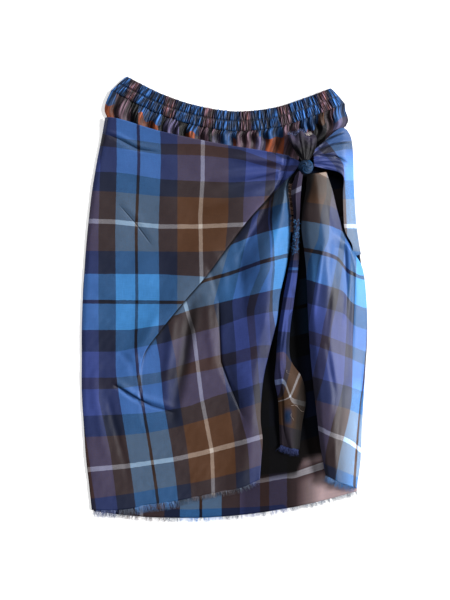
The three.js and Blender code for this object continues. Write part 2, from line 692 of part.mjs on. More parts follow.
makeCasing();
makeYoke();
const backSurface = makeWrapBack();
makeWrapFront();
makeWrapHip();
makeWrapDrape();
makeKnot();
makeEnds();
makeFringes(backSurface);

export default skirt;
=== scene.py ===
"""A checked skirt with a knotted wrap, laid on its back, built over its packed CAD frame.

Tables are in millimetres or in chart units. A chart counts its units right and down from a corner
of a board that is 450 units wide and 600 high, as a pattern cutter's chart does.
"""

import math

import bpy
import numpy as np
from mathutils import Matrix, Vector


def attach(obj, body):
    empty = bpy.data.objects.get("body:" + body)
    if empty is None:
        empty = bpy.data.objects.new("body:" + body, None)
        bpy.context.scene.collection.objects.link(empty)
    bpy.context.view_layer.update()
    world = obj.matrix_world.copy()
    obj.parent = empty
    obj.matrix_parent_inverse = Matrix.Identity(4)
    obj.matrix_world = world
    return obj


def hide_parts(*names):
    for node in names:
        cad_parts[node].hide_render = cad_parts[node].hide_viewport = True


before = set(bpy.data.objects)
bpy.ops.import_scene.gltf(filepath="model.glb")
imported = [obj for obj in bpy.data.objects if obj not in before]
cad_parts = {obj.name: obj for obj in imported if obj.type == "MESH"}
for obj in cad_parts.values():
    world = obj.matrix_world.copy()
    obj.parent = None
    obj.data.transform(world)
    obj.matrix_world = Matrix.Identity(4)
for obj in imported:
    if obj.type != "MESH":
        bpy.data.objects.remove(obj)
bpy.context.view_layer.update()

bl_info = {
    "name": "Checked wrap skirt",
    "version": (1, 0, 0),
    "blender": (4, 5, 0),
    "location": "View3D > Sidebar > Skirt",
    "description": "Builds a checked skirt with a knotted wrap, piece by piece, over its frame",
    "category": "Add Mesh",
}

MM = 0.001
BOARD_UNIT = 1.5  # millimetres in a chart unit
BOARD_CORNER = (-336.75, 448.5)  # where the board's corner lies, in millimetres
CAMERA_AT = (0.00075, -0.0015)  # the board's middle, in metres
CAMERA_DISTANCE, VIEW_HEIGHT = 3.2, 0.9  # in metres, as are the floor's
FLOOR_SIZE, FLOOR_LEVEL = 8, -0.0002

# ---- Sizes of the solids that the cloth follows, in millimetres ----

CASING_HEIGHT = 30
CASING_FLARE = 12  # how far the ends of the casing's lower edge reach out
CASING_LOW, CASING_RISE, CASING_RIBS = 2.1, 3.05, 2.6  # at the folds, more in the middle, and of the ribs
YOKE_PUFFS = 19
SEAM_LAP = 0.6  # how far the yoke's upper edge is tucked under the casing
CLOTH_WALL = 0.6
UNDERSIDE_SHADE = 0.9  # painted shade on each cloth's lower face, which also dims its rims
THREAD_RADIUS = 0.22
CURL_RADIUS = 0.36
STITCH_RADIUS = 0.27

CASING_EDGE = [(-146, 333.5), (-96, 308.5), (-43, 290.5), (15, 281.5), (72, 286.5), (118, 300.5), (159, 316)]

# left, middle, right, height, height of the puffs
YOKE_ROWS = [
    ((-176, 299), (14, 246), (181, 283), 6, 3.2),
    ((-179.5, 287), (18, 238), (184.5, 273), 6, 3.4),
    ((-178, 277), (18, 231), (184.5, 264), 5.8, 1.8),
    ((-169, 262), (18, 217), (175, 250), 4.7, 0.3),
    ((-166, 240), (18, 197), (169, 228), 4.7, 0),
]

# left, right, sag
BACK_ROWS = [
    ((-178, 262), (184, 254), 27),
    ((-188, 216), (189, 212), 14),
    ((-199, 149), (193, 149), 3),
    ((-209.5, 50), (203, 68), 0),
    ((-213, -15), (211.5, -15), 0),
    ((-213, -139), (210, -115), 3),
    ((-207, -240), (204, -225), 14),
    ((-196, -318), (198.5, -288), 23),
]

# left, body, bow, pleat, hidden, lift, valley, ridge, edge
FRONT_ROWS = [
    ((-179, 272), 11.8, 4, (88, 216), 0, 0.4, (97, 212.5, 14), (105, 209, 17), (112.4, 204.5, 18)),
    ((-184, 243), 8.4, 2, (84, 196), 0, 0.8, (93, 194, 11), (101, 194, 15), (109.2, 196.5, 18)),
    ((-191, 208), 6.6, 0, (77, 169), 4, 4, (86, 167.5, 11), (91, 169.5, 15), (96, 175, 12)),
    ((-199, 159), 5.5, 0, (65, 151), 24, 10.5, (77, 147, 8), (88, 147, 23), (97, 148, 13)),
    ((-204, 115), 5.2, 0, (37, 120), 25, 10.5, (56, 118, 8.5), (82, 117, 25), (100.5, 118, 12)),
    ((-208, 73), 5.2, 0, (7, 81), 25, 9.5, (35, 81, 8.5), (72, 82, 26), (98, 84, 12)),
    ((-211, 28), 5.2, 0, (-26, 36), 23, 9, (14, 40, 7), (62, 42, 26), (92, 45, 11)),
    ((-213, -9), 5.2, 0, (-58, -1), 19, 8, (-7, 0, 5.5), (62, 2, 20), (83, 6, 10)),
    ((-214, -46), 5.2, 0, (-94, -45), 13, 7, (-8, -40, 5), (58, -37, 18), (78, -34, 10)),
    ((-214, -88), 5.2, 0, (-121, -84), 5, 4.5, (-7, -81, 5), (48, -78, 15), (68, -75, 9.5)),
    ((-214, -139), 5, 0, (-129, -133), 0, 1.2, (8, -130, 6), (42, -126, 13.5), (58, -121, 9)),
    ((-211, -189), 4.6, 0, (-124, -187), 0, 0.4, (19, -180, 8), (40, -178, 13), (54, -175, 9)),
    ((-208, -234), 4.2, 0, (-117, -229), 0, 0, (10, -222, 7), (38, -217, 12), (57, -211, 8.5)),
    ((-203, -279), 4, 2, (-109, -273), 0, 0, (0, -257, 5.5), (33, -249, 10), (55, -241, 7.5)),
    ((-199, -316), 3.8, 4, (-106, -307), 0, 0, (-13, -290, 4.6), (25, -282, 8), (53, -270, 6.5)),
]

# open, near, deep, height of each of the pleat's stations
PLEAT_STATIONS = [
    (-9, -9, 0, 0.97),
    (-1.5, -1.5, 0, 0.97),
    (0, 0, 0, 0.8),
    (1.5, -1.5, 0, 0.6),
    (3, 1.5, -1, 0.42),
    (4.5, 0, -1, 0.22),
    (6, 1.5, -1, 0.03),
    (8, 0, -0.5, 0),
]
# Across and down the board: the cloth above this line isn't pleated
PLEAT_TIP = ((240, 271, 299), (150, 195, 168))
PLEAT_EDGE_NODE = 6  # the row's node at the pleat's edge
PLEAT_DEEP_NODE = 10  # and the one where it lies deepest
FOLDED_FROM = 10  # millimetres of hidden cloth with which the pleat is folded in full

# inner, along, outer
HIP_ROWS = [
    ((132.8, 198, 19), (133, 208, 21), (130.5, 219, 18)),
    ((152, 194, 17), (153, 214, 21), (151, 238, 12)),
    ((170, 189, 17), (175, 217, 18), (174, 256, 8)),
    ((178, 180, 16.5), (184, 210, 13), (187.5, 247, 3.2)),
    ((177, 160, 15), (187, 188, 10.5), (192.5, 222, 2.8)),
    ((177.5, 131, 14), (188, 147, 10), (194, 171, 2.8)),
    ((180, 102, 13.5), (190, 109, 9.5), (197, 120, 2.8)),
    ((191, 81, 10), (196, 84, 7), (201, 88, 2.8)),
    ((192, 64, 4), (198, 65, 3), (204.5, 67, 2.2)),
]

# edge, ridge, crest, slope, second, side
DRAPE_ROWS = [
    ((123, 186.3, 18), (129, 186.8, 20), (135, 187.4, 21), (141, 188, 20), (147, 189, 18), (152, 190, 15)),
    ((121, 160, 16), (129, 161, 21.5), (138, 162, 24), (146, 162, 22.5), (153, 162, 19), (161.5, 162, 14)),
    ((116, 132, 17), (126, 133, 24), (140, 133, 27.5), (151, 133, 24), (159, 133, 18.5), (168.5, 133, 12)),
    ((115, 103, 18), (126, 103, 25.5), (145, 103, 30), (158, 102, 25), (167, 102, 18), (178.5, 101, 9)),
    ((119, 70, 18), (130, 70, 26), (148, 71, 30), (179, 71, 12.5), (187, 72, 13.5), (194, 70, 5)),
    ((122, 40, 18), (133, 40, 26), (151, 40, 29.5), (179, 41, 13), (191, 42, 13.5), (207.5, 44, 2.8)),
    ((124, -12, 18), (135, -11, 25.5), (157, -10, 29), (176, -8, 20.5), (193, -7, 11.5), (213, -6, 2.8)),
    ((127, -69, 18), (138, -68, 25.5), (153, -66, 28.5), (171, -63, 21), (192, -61, 11.5), (214, -58, 2.8)),
    ((131, -115, 18), (142, -113, 24.5), (161, -110, 28), (176, -106, 21), (193, -103, 12),
     (211.5, -100, 2.8)),
    ((136, -159, 18), (146, -156, 24), (161, -153, 26.5), (176, -149, 19.5), (191, -146, 11),
     (209, -142, 2.8)),
    ((141, -204, 17), (149, -202, 22.5), (161, -199, 25), (174, -196, 19), (189, -193, 11), (206, -189, 2.8)),
    ((146, -238, 15), (153, -238, 20), (164, -240, 21.5), (176, -241, 16.5), (189, -241, 9.5),
     (204, -241, 2.8)),
    ((151, -264, 13), (156, -266, 17), (166, -271, 17.5), (177, -276, 13), (188, -280, 8), (198, -284, 2.8)),
]

# left, crest, right
TAIL_ROWS = [
    ((105, 183, 21), (111, 190, 26), (117, 187.2, 21)),
    ((99.5, 160, 21), (107, 160, 26), (114, 160, 18)),
    ((102.5, 128, 20), (108, 128, 24), (112.6, 128, 15)),
    ((102, 95, 17), (107, 95, 20), (112, 95, 12)),
    ((99, 66, 11), (104, 66, 18), (112, 66, 11)),
    ((94, 36, 10), (100, 36, 17), (109, 36, 10)),
    ((87, -3, 9), (94, -3, 16), (104, -3, 9)),
    ((80, -50, 7), (88, -50, 15), (98, -50, 8)),
    ((77, -92, 6), (83, -92, 15), (99, -90, 7)),
    ((75, -121, 6), (86, -122, 15), (116, -118, 8)),
    ((80, -151, 6), (89, -152, 13), (122, -150, 7)),
    ((82, -190, 5), (90, -192, 11), (116, -188, 6)),
    ((83, -218, 4), (97, -223, 9), (112, -226, 5)),
]

# left, crest, right
CORNER_ROWS = [
    ((115, 205.2, 24.5), (120.5, 207.3, 26), (126, 206.7, 24.5)),
    ((105, 219, 22), (119, 221, 27), (134, 219, 22)),
    ((96, 232, 21), (115, 238, 25), (137, 237, 22)),
    ((93, 243, 18), (112, 248, 21), (132, 243, 20)),
]

# How many places each surface has across and down, or how many steps between one node and the next
BACK_PLACES = (151, 161)
FRONT_STEPS = [5, 15, 18, 16, 3, 4, 4, 5, 4, 4, 6, 46, 24, 18]
HIP_PLACES = (61, 161)
DRAPE_STEPS, DRAPE_PLACES = [16, 20, 24, 20, 24], 321
TAIL_PLACES = (61, 321)
CORNER_PLACES = (81, 61)

# Single pale threads that lie loose across the tail
LOOSE_FROM = [(99.7, -159, 17.4), (99.7, -171, 17.2), (93, -106, 17)]
LOOSE_TO = [(118.5, -168.7, 17.2), (103.5, -181.5, 17.4), (98, -112, 17.2)]
LOOSE_COLOUR = (0.55, 0.45, 0.4)

KNOT_CENTRE = (121.5, 197, 21)
KNOT_RADII = (11.6, 11, 11)

# ---- Folds, in chart units: the places that each runs through, its width and rise in mm ----

FRONT_FOLDS = [
    {"run": [(286, 163), (262, 161), (231, 159)], "width": 5, "rise": 3.2},
    {"run": [(283, 168), (250, 169), (221, 172)], "width": 5, "rise": -2.4},
    {"run": [(281, 170), (245, 175), (211, 182)], "width": 6, "rise": 3.4},
    {"run": [(278, 177), (240, 185), (214, 194)], "width": 6, "rise": -2.6},
    {"run": [(275, 182), (240, 198), (204, 211)], "width": 7, "rise": 3},
    {"run": [(105, 134), (118, 139), (138, 150), (160, 153)], "width": 2.6, "rise": -1.7},
    {"run": [(106, 132), (119, 136), (139, 146), (160, 149)], "width": 3, "rise": 1.4},
    {"run": [(118, 204), (136, 224), (152, 246)], "width": 2.6, "rise": -1},
    {"run": [(122, 202), (140, 221), (158, 246)], "width": 5, "rise": 0.9},
    {"run": [(114, 385), (137, 400), (165, 409), (177, 412)], "width": 2.4, "rise": -3.2},
    {"run": [(114, 380), (137, 395), (165, 404), (177, 408)], "width": 5, "rise": 2.4},
    {"run": [(191, 300), (187, 335), (183, 370), (174, 408), (176, 430)], "width": 7, "rise": -2.6},
    {"run": [(174, 318), (170, 350), (166, 385), (168, 402)], "width": 7, "rise": 2.4},
    {"run": [(207, 292), (209, 330), (212, 352), (211, 375)], "width": 6, "rise": 1.5},
    {"run": [(219, 300), (219, 330), (220, 360), (226, 378), (235, 395), (245, 420)],
     "width": 3.6, "rise": -2.1},
    {"run": [(206, 262), (214, 282), (219, 305)], "width": 4, "rise": -1.4},
    {"run": [(212, 250), (222, 270), (226, 300)], "width": 6, "rise": 1.1},
    {"run": [(237, 232), (240, 262), (243, 300), (244, 330)], "width": 6, "rise": -1.1},
    {"run": [(270, 200), (262, 218), (248, 240), (238, 262)], "width": 4, "rise": -2.6},
    {"run": [(97, 360), (95, 390), (103, 440), (110, 470)], "width": 7, "rise": 1.2},
    {"run": [(107, 395), (116, 430), (124, 460), (128, 485)], "width": 5, "rise": -1.3},
    {"run": [(140, 357), (128, 366), (112, 371), (98, 372)], "width": 8, "rise": 1.6},
    {"run": [(118, 352), (130, 362), (134, 378)], "width": 6, "rise": -1.3},
    {"run": [(160, 310), (147, 335), (137, 350), (120, 362)], "width": 7, "rise": 1.4},
]
DRAPE_FOLDS = [
    {"run": [(322, 245), (317, 285), (312, 320)], "width": 3, "rise": 1.6},
    {"run": [(334, 240), (330, 290), (326, 340)], "width": 4, "rise": -1.2},
    {"run": [(343, 235), (345, 262), (346, 300), (343, 330)], "width": 3, "rise": -2.2},
    {"run": [(349, 245), (353, 275), (352, 320), (350, 380)], "width": 3.4, "rise": -1.8},
    {"run": [(326, 340), (330, 370), (334, 396), (330, 430)], "width": 4, "rise": -1.5},
    {"run": [(366, 345), (363, 380), (360, 410), (356, 450), (354, 478)], "width": 1.6, "rise": -1.4},
    {"run": [(341, 380), (340, 410), (336, 440), (334, 470)], "width": 4, "rise": 1.2},
]

# Bands of shade down in the troughs. Here the rise is the share of the light that they take
FRONT_SHADES = [
    {"run": [(198, 292), (192, 322), (186, 352), (180, 385), (175, 415), (176, 432)],
     "width": 9, "rise": 0.85},
    {"run": [(284, 182), (274, 196), (272, 216), (272, 226)], "width": 5, "rise": 0.35},
    {"run": [(226, 352), (233, 380), (242, 404), (252, 430)], "width": 9, "rise": 0.45},
    {"run": [(250, 235), (243, 265), (238, 290)], "width": 9, "rise": 0.12},
    {"run": [(261, 305), (264, 345), (262, 380), (260, 420), (264, 450)], "width": 11, "rise": 0.5},
]

# Sharp creases, in chart units, with their width, depth and fade towards each end in millimetres. Their depth
# also darkens the cloth's colour as painted shade
FRONT_CREASES = [
    {"run": [(104, 133.5), (118, 139), (138, 149.5), (160, 152.5)],
     "width": 1.1, "depth": 0.55, "fade": 12},
    {"run": [(118, 203.5), (136, 224), (153, 247)], "width": 1.0, "depth": 0.6, "fade": 12},
    {"run": [(112, 384), (123, 389.5), (140, 400), (152, 406), (176, 413)],
     "width": 1.6, "depth": 1.15, "fade": 9},
    {"run": [(290, 169), (268, 176), (238, 183)], "width": 1.8, "depth": 0.7, "fade": 14},
    {"run": [(219, 296), (219.5, 330), (221, 362), (229, 384), (244, 420)],
     "width": 1.5, "depth": 1.2, "fade": 20},
]

# The hip's sharp creases, which paint shade into its colour in the same way
HIP_CREASES = [
    {"run": [(312, 149), (328, 139), (346, 132)], "width": 1.5, "depth": 1.9, "fade": 8},
    {"run": [(313, 152), (332, 145), (351, 142)], "width": 1.5, "depth": 1.7, "fade": 8},
    {"run": [(313, 156), (334, 157), (350, 165)], "width": 1.7, "depth": 1.5, "fade": 9},
]

# ---- The check: the stripes of one repeat from left to right, and their shares of it ----

SETT = [
    ("purple", 0.105),
    ("dark", 0.088),
    ("bright", 0.105),
    ("line", 0.018),
    ("bright", 0.105),
    ("dark", 0.088),
    ("brown", 0.115),
    ("white", 0.02),
    ("brown", 0.115),
    ("dark", 0.088),
    ("purple", 0.105),
    ("narrow", 0.048),
]
REPEAT = (294, 372)  # millimetres of cloth in a repeat of the warp and of the weft
SMALL_REPEAT = 58  # and in one of the small check of casing and yoke
WHITE_LINE = 0.634  # the share of the repeat at the middle of the pale stripe

# ---- How the cloth looks ----

BASE_ROUGHNESS = 0.52
WRAP_ROUGHNESS, WRAP_GLOSS = 0.5, 0.32
SHINY = {"roughness": 0.47, "gloss": 0.5}  # where the wrap's satin is stretched
WEAVE_CONTRAST = 0.22  # how much the upper thread of the weave outweighs the lower one
WANDER = 0.004  # how far the stripes stray, in repeats
SLUB_SCALES = (260, 22)  # across and along a thread, in each repeat
EYE_GAMMA = 2.2
PALE_THREAD = (0.72, 0.8, 0.92)
RUST_THREAD = (0.6, 0.44, 0.4)
END_THREAD = (0.3, 0.38, 0.62)
STITCH_COLOUR = (0.05, 0.07, 0.15)

# ---- Light on the cloth: tables of places on the board, and of the light or the line's place there ----

BACK_SHADE_EDGE = ([255, 262, 296, 303, 322, 340], [476, 478, 474, 460, 455, 455])
BACK_LIGHT = ([236, 246, 288, 296, 303, 312, 321], [1, 0.5, 0.55, 0.9, 3.2, 6.5, 13])
TAIL_LIGHT = (
    [165, 200, 215, 255, 275, 300, 345, 360, 410, 430],
    [0.75, 0.6, 0.35, 0.35, 0.9, 1.05, 1, 1.2, 1.2, 1.1],
)
# Edges of the painted shade on the tail's right side, and on the outer side of its lower end
TAIL_RIGHT_EDGE = ([290, 310, 350, 370, 400, 440], [289, 297, 297, 301, 304, 300])
TAIL_OUTER_EDGE = ([340, 369, 401, 404, 440], [299, 301, 292, 293, 291])
TAIL_PATCH = (0.88, 0.3, -2.5)  # what its brown patch takes from red, green and blue
TAIL_COOLING = (0.4, 0.24, 0)  # and what its lower end loses
DRAPE_UNDER_TAIL = ([165, 185, 205, 222], [316, 312, 305.5, 302])
DRAPE_UNDER_HIP = ([305, 334], [168, 182])

# Charts: where the warp's stripes (as across at each place down) and the weft's stripes (as down at
# each place across) lie on the board, with the share of the sett's repeat that each line marks.
LEFT_WARP = [
    (0.0, [(80, 120), (80, 300), (79, 370), (80, 400), (88, 450), (92, 480), (97, 512)]),
    (0.105, [
        (100, 120), (100.5, 160), (98.5, 230), (98.5, 300), (99, 370), (99, 400), (110, 450),
        (114, 480), (118, 512),
    ]),
    (0.193, [
        (116.3, 120), (116.6, 160), (115, 230), (115.7, 300), (115.5, 370), (119.3, 400), (127.6, 450),
        (132, 480), (136, 512),
    ]),
    (0.307, [
        (138, 120), (138.8, 160), (136, 230), (136.7, 300), (135.6, 345), (138, 375), (142, 400),
        (150.3, 450), (155, 480), (159, 512),
    ]),
    (0.421, [
        (160, 120), (161, 160), (158.3, 230), (159.5, 300), (158, 350), (160.5, 375), (163, 400),
        (172, 450), (176, 480), (179, 512),
    ]),
    (0.509, [
        (177, 120), (177, 300), (176, 345), (177, 375), (179, 400), (187, 450), (190, 480), (192, 512),
    ]),
    (0.634, [
        (203, 120), (202.5, 180), (200, 215), (201.6, 278), (201, 310), (197, 362), (201.4, 398),
        (207.7, 430), (212, 452), (213, 487), (213.5, 512),
    ]),
    (0.759, [
        (227, 120), (228, 165), (228, 215), (225, 245), (224, 300), (222, 365), (228, 400), (234, 440),
        (235, 460), (236, 490),
    ]),
    (0.847, [
        (246, 120), (246, 165), (243, 205), (243, 300), (237, 380), (240, 415), (247, 440), (249, 460),
        (250, 490),
    ]),
    (0.952, [(266, 120), (266.5, 165), (262, 226), (262, 300), (256, 415), (263, 460), (266, 490)]),
    (1.0, [(276, 120), (276, 165), (272, 226), (270, 300), (262, 415), (268, 460), (271, 490)]),
    (1.105, [(299, 120), (299, 226), (290, 300), (280, 490)]),
]
RIGHT_WARP = [
    (0.193, [
        (96, 250), (106, 303), (115.5, 357), (115.5, 370), (119.3, 400), (127.6, 450), (132, 480),
        (136, 512),
    ]),
    (0.307, [(116, 250), (127, 303), (137, 357), (142, 400), (150.3, 450), (155, 480), (159, 512)]),
    (0.421, [(138, 250), (149, 303), (159.5, 357), (163, 400), (172, 450), (176, 480), (179, 512)]),
    (0.509, [(150, 250), (163, 303), (175, 357), (179, 400), (187, 450), (190, 480), (192, 512)]),
    (0.634, [
        (168, 250), (184.5, 303), (193.4, 333), (197, 362.5), (201.4, 398), (207.7, 430), (212, 452),
        (213, 487), (213.5, 512),
    ]),
    (0.759, [
        (259, 180), (249, 215), (228, 250), (213, 303), (219, 330), (222, 365), (228, 400), (234, 440),
        (235, 460), (236, 490),
    ]),
    (0.847, [
        (264, 180), (253, 215), (244, 250), (232, 303), (236, 350), (237, 380), (240, 415), (247, 440),
        (249, 460), (250, 490),
    ]),
    (0.952, [
        (268, 185), (262, 200), (256, 222), (257, 240), (260, 268), (250, 293), (246, 311), (250, 350),
        (252, 380), (256, 415), (260, 440), (263, 460), (266, 490),
    ]),
    (1.0, [
        (272, 185), (269, 205), (268, 222), (270, 240), (271, 268), (259, 293), (254, 311), (257, 350),
        (259, 380), (262, 415), (265, 440), (268, 460), (271, 490),
    ]),
    (1.105, [
        (274, 185), (270.5, 205), (269.5, 222), (271.5, 240), (272.5, 268), (270, 293), (269, 311),
        (271, 350), (272, 380), (276, 440), (280, 460),
    ]),
    (1.193, [
        (275, 185), (272, 205), (271, 222), (273, 240), (274, 268), (272, 293), (272, 311), (279, 350),
        (284, 400), (286, 460),
    ]),
    (1.297, [
        (298, 185), (296, 222), (296, 240), (292, 268), (290, 311), (300, 350), (306, 400), (308, 460),
    ]),
]
LEFT_WEFT = [
    (2.105, [(105, 110), (130, 118), (165, 124), (200, 127), (240, 135), (284, 160)]),
    (2.0, [
        (95, 133), (105, 134.5), (118, 138.5), (140, 141), (160, 144), (200, 144.5), (240, 150),
        (284, 166),
    ]),
    (1.952, [(95, 146), (116, 148), (140, 152), (160, 155), (200, 156), (240, 160), (284, 172)]),
    (1.847, [(93, 172), (115, 172.5), (135, 175), (160, 179.5), (185, 181), (230, 183), (284, 180)]),
    (1.759, [(83, 191), (114, 192.5), (135, 194.5), (160, 197), (225, 199), (284, 196)]),
    (1.634, [(89, 221.3), (115, 222), (135, 224.5), (160, 227), (200, 227), (245, 225), (262, 222)]),
    (1.509, [(83, 251.5), (200, 252.5), (230, 251)]),
    (1.421, [(83, 274), (160, 274.5), (204, 277)]),
    (1.307, [(83, 302), (136, 302.5), (184, 303)]),
    (1.193, [(83, 330.5), (130, 330.5), (145, 328), (185, 322)]),
    (1.105, [(83, 351.7), (118, 351.7), (140, 347), (165, 342)]),
    (1.0, [
        (83, 377.5), (115, 377.5), (140, 375), (160, 372), (195, 361), (215, 356), (233, 352),
        (258, 345),
    ]),
    (0.952, [
        (83, 389.5), (115, 389), (140, 386), (160, 383), (190, 374), (215, 369), (233, 364.7),
        (258, 358),
    ]),
    (0.847, [
        (85, 416), (120, 414.5), (150, 413), (170, 410), (190, 406), (215, 396), (245, 388), (262, 382),
    ]),
    (0.759, [
        (85, 437.5), (120, 436), (150, 433), (170, 429), (190, 424), (215, 417), (240, 409), (262, 402),
    ]),
    (0.634, [(85, 470), (129, 466), (152, 462.6), (173, 459.7), (200, 453.7), (240, 443), (262.4, 436.3)]),
    (0.509, [(85, 500), (130, 494), (170, 487), (200, 482), (240, 472), (262, 465)]),
    (0.421, [(85, 520), (150, 512), (262, 488)]),
]
RIGHT_WEFT = [
    (1.847, [(200, 205), (240, 178), (260, 168), (290, 158)]),
    (1.634, [(200, 225), (230, 200), (262, 178), (290, 165)]),
    (1.509, [(180, 270), (200, 247), (230, 224), (255, 212), (290, 203)]),
    (1.421, [(160, 288), (190, 266), (215, 252), (233.6, 244), (256, 235), (291.6, 226)]),
    (1.307, [(140, 312), (184, 292), (204, 281), (230, 274), (260, 263), (286, 256)]),
    (1.193, [(140, 330), (160, 321), (194, 309), (217, 304), (245, 297), (280, 289)]),
    (1.105, [(118, 351), (140, 347), (165, 343), (195, 333), (215, 328), (245, 317), (275, 311)]),
] + LEFT_WEFT[11:]
DRAPE_WARP = [
    (0.634, [(300, 160), (300, 200), (298, 240), (290, 262), (284, 300)]),
    (0.759, [(326, 160), (326, 195), (320, 212), (317, 240), (307, 262), (304, 300), (296, 345)]),
    (0.847, [
        (331, 160), (331, 195), (329, 212), (328, 240), (318, 262), (312, 300), (305, 345), (298, 380),
    ]),
    (0.952, [
        (338, 160), (341, 230), (336, 262), (328, 300), (322, 325), (319, 345), (311, 380), (306, 400),
        (300, 450),
    ]),
    (1.0, [
        (341, 160), (345, 240), (343, 262), (337, 300), (331, 325), (329, 345), (322, 380), (316, 400),
        (312, 450), (310, 480),
    ]),
    (1.105, [
        (346, 160), (350, 240), (350, 262), (346, 300), (346, 325), (345, 345), (343, 380), (339, 400),
        (332, 420), (325, 450), (324, 480),
    ]),
    (1.193, [
        (352, 160), (355, 240), (356, 262), (354, 300), (352, 345), (351.5, 380), (351, 400),
        (347.5, 420), (339.5, 450), (334, 480),
    ]),
    (1.307, [
        (364, 160), (366, 262), (368, 300), (367, 345), (363.5, 380), (360.5, 400), (358.5, 420),
        (356, 450), (354, 480),
    ]),
]
DRAPE_WEFT = [
    (1.644, [(305, 164), (316, 168.5), (326, 173.5), (334, 178)]),
    (1.624, [(305, 168), (316, 173), (326, 178), (334, 182)]),
    (1.509, [(303, 203), (316, 205), (331, 207), (340, 214)]),
    (1.421, [(300, 221), (317, 224), (328, 226), (344, 232), (352, 246), (358, 252)]),
    (1.307, [(303, 250), (322, 254), (334, 257.5), (341, 262), (345, 271), (361, 278)]),
    (1.193, [(306, 280), (318, 284), (332, 288), (344, 292), (350, 303), (365, 309)]),
    (1.105, [(306, 303), (328, 309), (345, 314), (352, 325), (366, 330)]),
    (1.0, [(308, 330), (324, 335), (345, 343), (366, 352)]),
    (0.952, [(310, 344), (324, 349), (349, 358), (366, 366)]),
    (0.847, [(312, 376), (325, 380), (345, 385), (364, 392)]),
    (0.759, [(315, 400), (325, 403), (345, 408), (362, 416)]),
    (0.634, [(318, 427), (330, 433.5), (343, 438), (352, 443), (363, 453)]),
    (0.509, [(320, 462), (340, 470), (363, 480)]),
]
HIP_WARP = [
    (0.952, [(290, 130), (300, 150), (308, 170), (320, 200)]),
    (1.105, [(302, 130), (318, 150), (336, 168), (339, 200), (341, 250)]),
    (1.193, [(312, 128), (328, 145), (343, 165), (345, 200), (347, 250)]),
    (1.307, [(345, 120), (354, 135), (356, 165), (358, 200), (361, 250)]),
]
HIP_WEFT = [
    (2.193, [(300, 120), (360, 112)]),
    (2.0, [(300, 158), (320, 150), (345, 142), (360, 140)]),
    (1.952, [(300, 162), (320, 156), (345, 150), (360, 149)]),
    (1.847, [(300, 182), (345, 181), (360, 181)]),
    (1.759, [(300, 200), (360, 200)]),
    (1.634, [(300, 226.5), (360, 226.5)]),
    (1.509, [(300, 252), (362, 252)]),
]
TAIL_WARP = [
    (0.952, [
        (286, 170), (286, 221), (283, 300), (275, 330), (270, 366), (262, 399), (225, 403), (220, 460),
    ]),
    (0.847, [
        (312, 170), (310, 290), (289, 314), (286, 340), (286, 366), (278, 399), (240, 403), (235, 460),
    ]),
    (0.759, [
        (318, 170), (316, 290), (297, 318), (293, 350), (291, 366), (282, 399), (250, 403), (240, 460),
    ]),
    (0.634, [(330, 170), (330, 300), (312, 340), (301.5, 368), (288, 400), (264, 403), (255, 460)]),
    (0.509, [(345, 170), (345, 300), (330, 340), (325, 366), (311, 399), (309, 430), (306, 460)]),
]
TAIL_WEFT = [
    (1.759, [(280, 172), (310, 163)]),
    (1.644, [(286, 194), (306, 184)]),
    (1.624, [(286, 199), (306, 189)]),
    (1.509, [(286, 262), (306, 262)]),
    (1.421, [(286, 268), (306, 268)]),
    (1.193, [(286, 270), (306, 270)]),
    (1.105, [(282, 273), (300, 273)]),
    (1.0, [(280, 297), (300, 298)]),
    (0.952, [(278, 310), (300, 310)]),
    (0.847, [(276, 331), (300, 333)]),
    (0.759, [(274, 354), (287, 351), (288, 362), (306, 370)]),
    (0.644, [(274, 380), (287, 377), (288, 397), (306, 402)]),
    (0.624, [(274, 386), (287, 382), (288, 402), (306, 407)]),
    (0.509, [(274, 424), (306, 432)]),
]
BACK_WARP = [
    (0.759, [(119, 100), (119, 520)]),
    (0.634, [(141.5, 100), (141.5, 520)]),
    (0.509, [(165, 100), (165, 520)]),
    (0.421, [(180, 100), (180, 520)]),
    (0.307, [(201.1, 100), (201.1, 520)]),
    (0.193, [(222, 100), (222, 520)]),
    (0.105, [(240, 100), (240, 520)]),
    (0.0, [(260, 100), (260, 520)]),
    (-0.048, [(269.4, 100), (269.4, 520)]),
    (-0.153, [(287, 100), (287, 520)]),
    (-0.241, [(372, 100), (372, 520)]),
    (-0.366, [(392, 100), (392, 520)]),
]
BACK_WEFT = [
    (1.634, [(80, 241), (261, 235), (360, 215)]),
    (0.634, [(80, 489), (261, 481), (296, 474), (323, 464.5), (360, 453)]),
    (0.509, [(80, 507), (190, 510), (261, 507), (288, 504.5), (291, 530), (360, 520)]),
]
# The base skirt's small check: a mauve stripe at each whole number.
CASING_WARP = [
    (-1, [(103, 80), (84, 120)]),
    (0, [(137, 80), (121, 118), (120, 140)]),
    (1, [(172, 95), (168, 120), (168, 150)]),
    (2, [(210, 105), (208, 125), (202, 140)]),
    (3, [(245, 105), (246, 130), (245, 150)]),
    (4, [(280, 100), (288, 128), (292, 150)]),
    (5, [(321, 90), (327, 110), (328, 140)]),
    (6, [(352, 80), (367, 120)]),
]
# The yoke's gathers hide part of its check. These are the patches that show in its two rows of them,
# by where each starts across the board.
YOKE_FROM, YOKE_REACH = 100, 250
YOKE_UPPER = [
    (100, "base_blue"), (116, "mauve"), (130, "base_black"), (139, "base_blue"), (162, "base_black"),
    (165, "lilac"), (178, "base_black"), (187, "base_blue"), (197, "mauve"), (208, "base_black"),
    (213, "mauve"), (221, "base_blue"), (236, "mauve"), (257, "base_blue"), (281, "mauve"),
    (299, "base_blue"), (317, "brown"), (323, "mauve"), (334, "base_blue"),
]
YOKE_LOWER = [
    (100, "orange"), (115, "mauve"), (130, "base_black"), (140, "orange"), (158, "base_black"),
    (164, "lilac"), (178, "base_black"), (186, "orange"), (194, "mauve"), (208, "base_black"),
    (213, "lilac"), (221, "base_blue"), (231, "orange"), (235, "mauve"), (254, "lilac"),
    (266, "orange"), (282, "mauve"), (297, "base_black"), (305, "mauve"), (313, "base_black"),
    (325, "mauve"), (334, "lilac"),
]


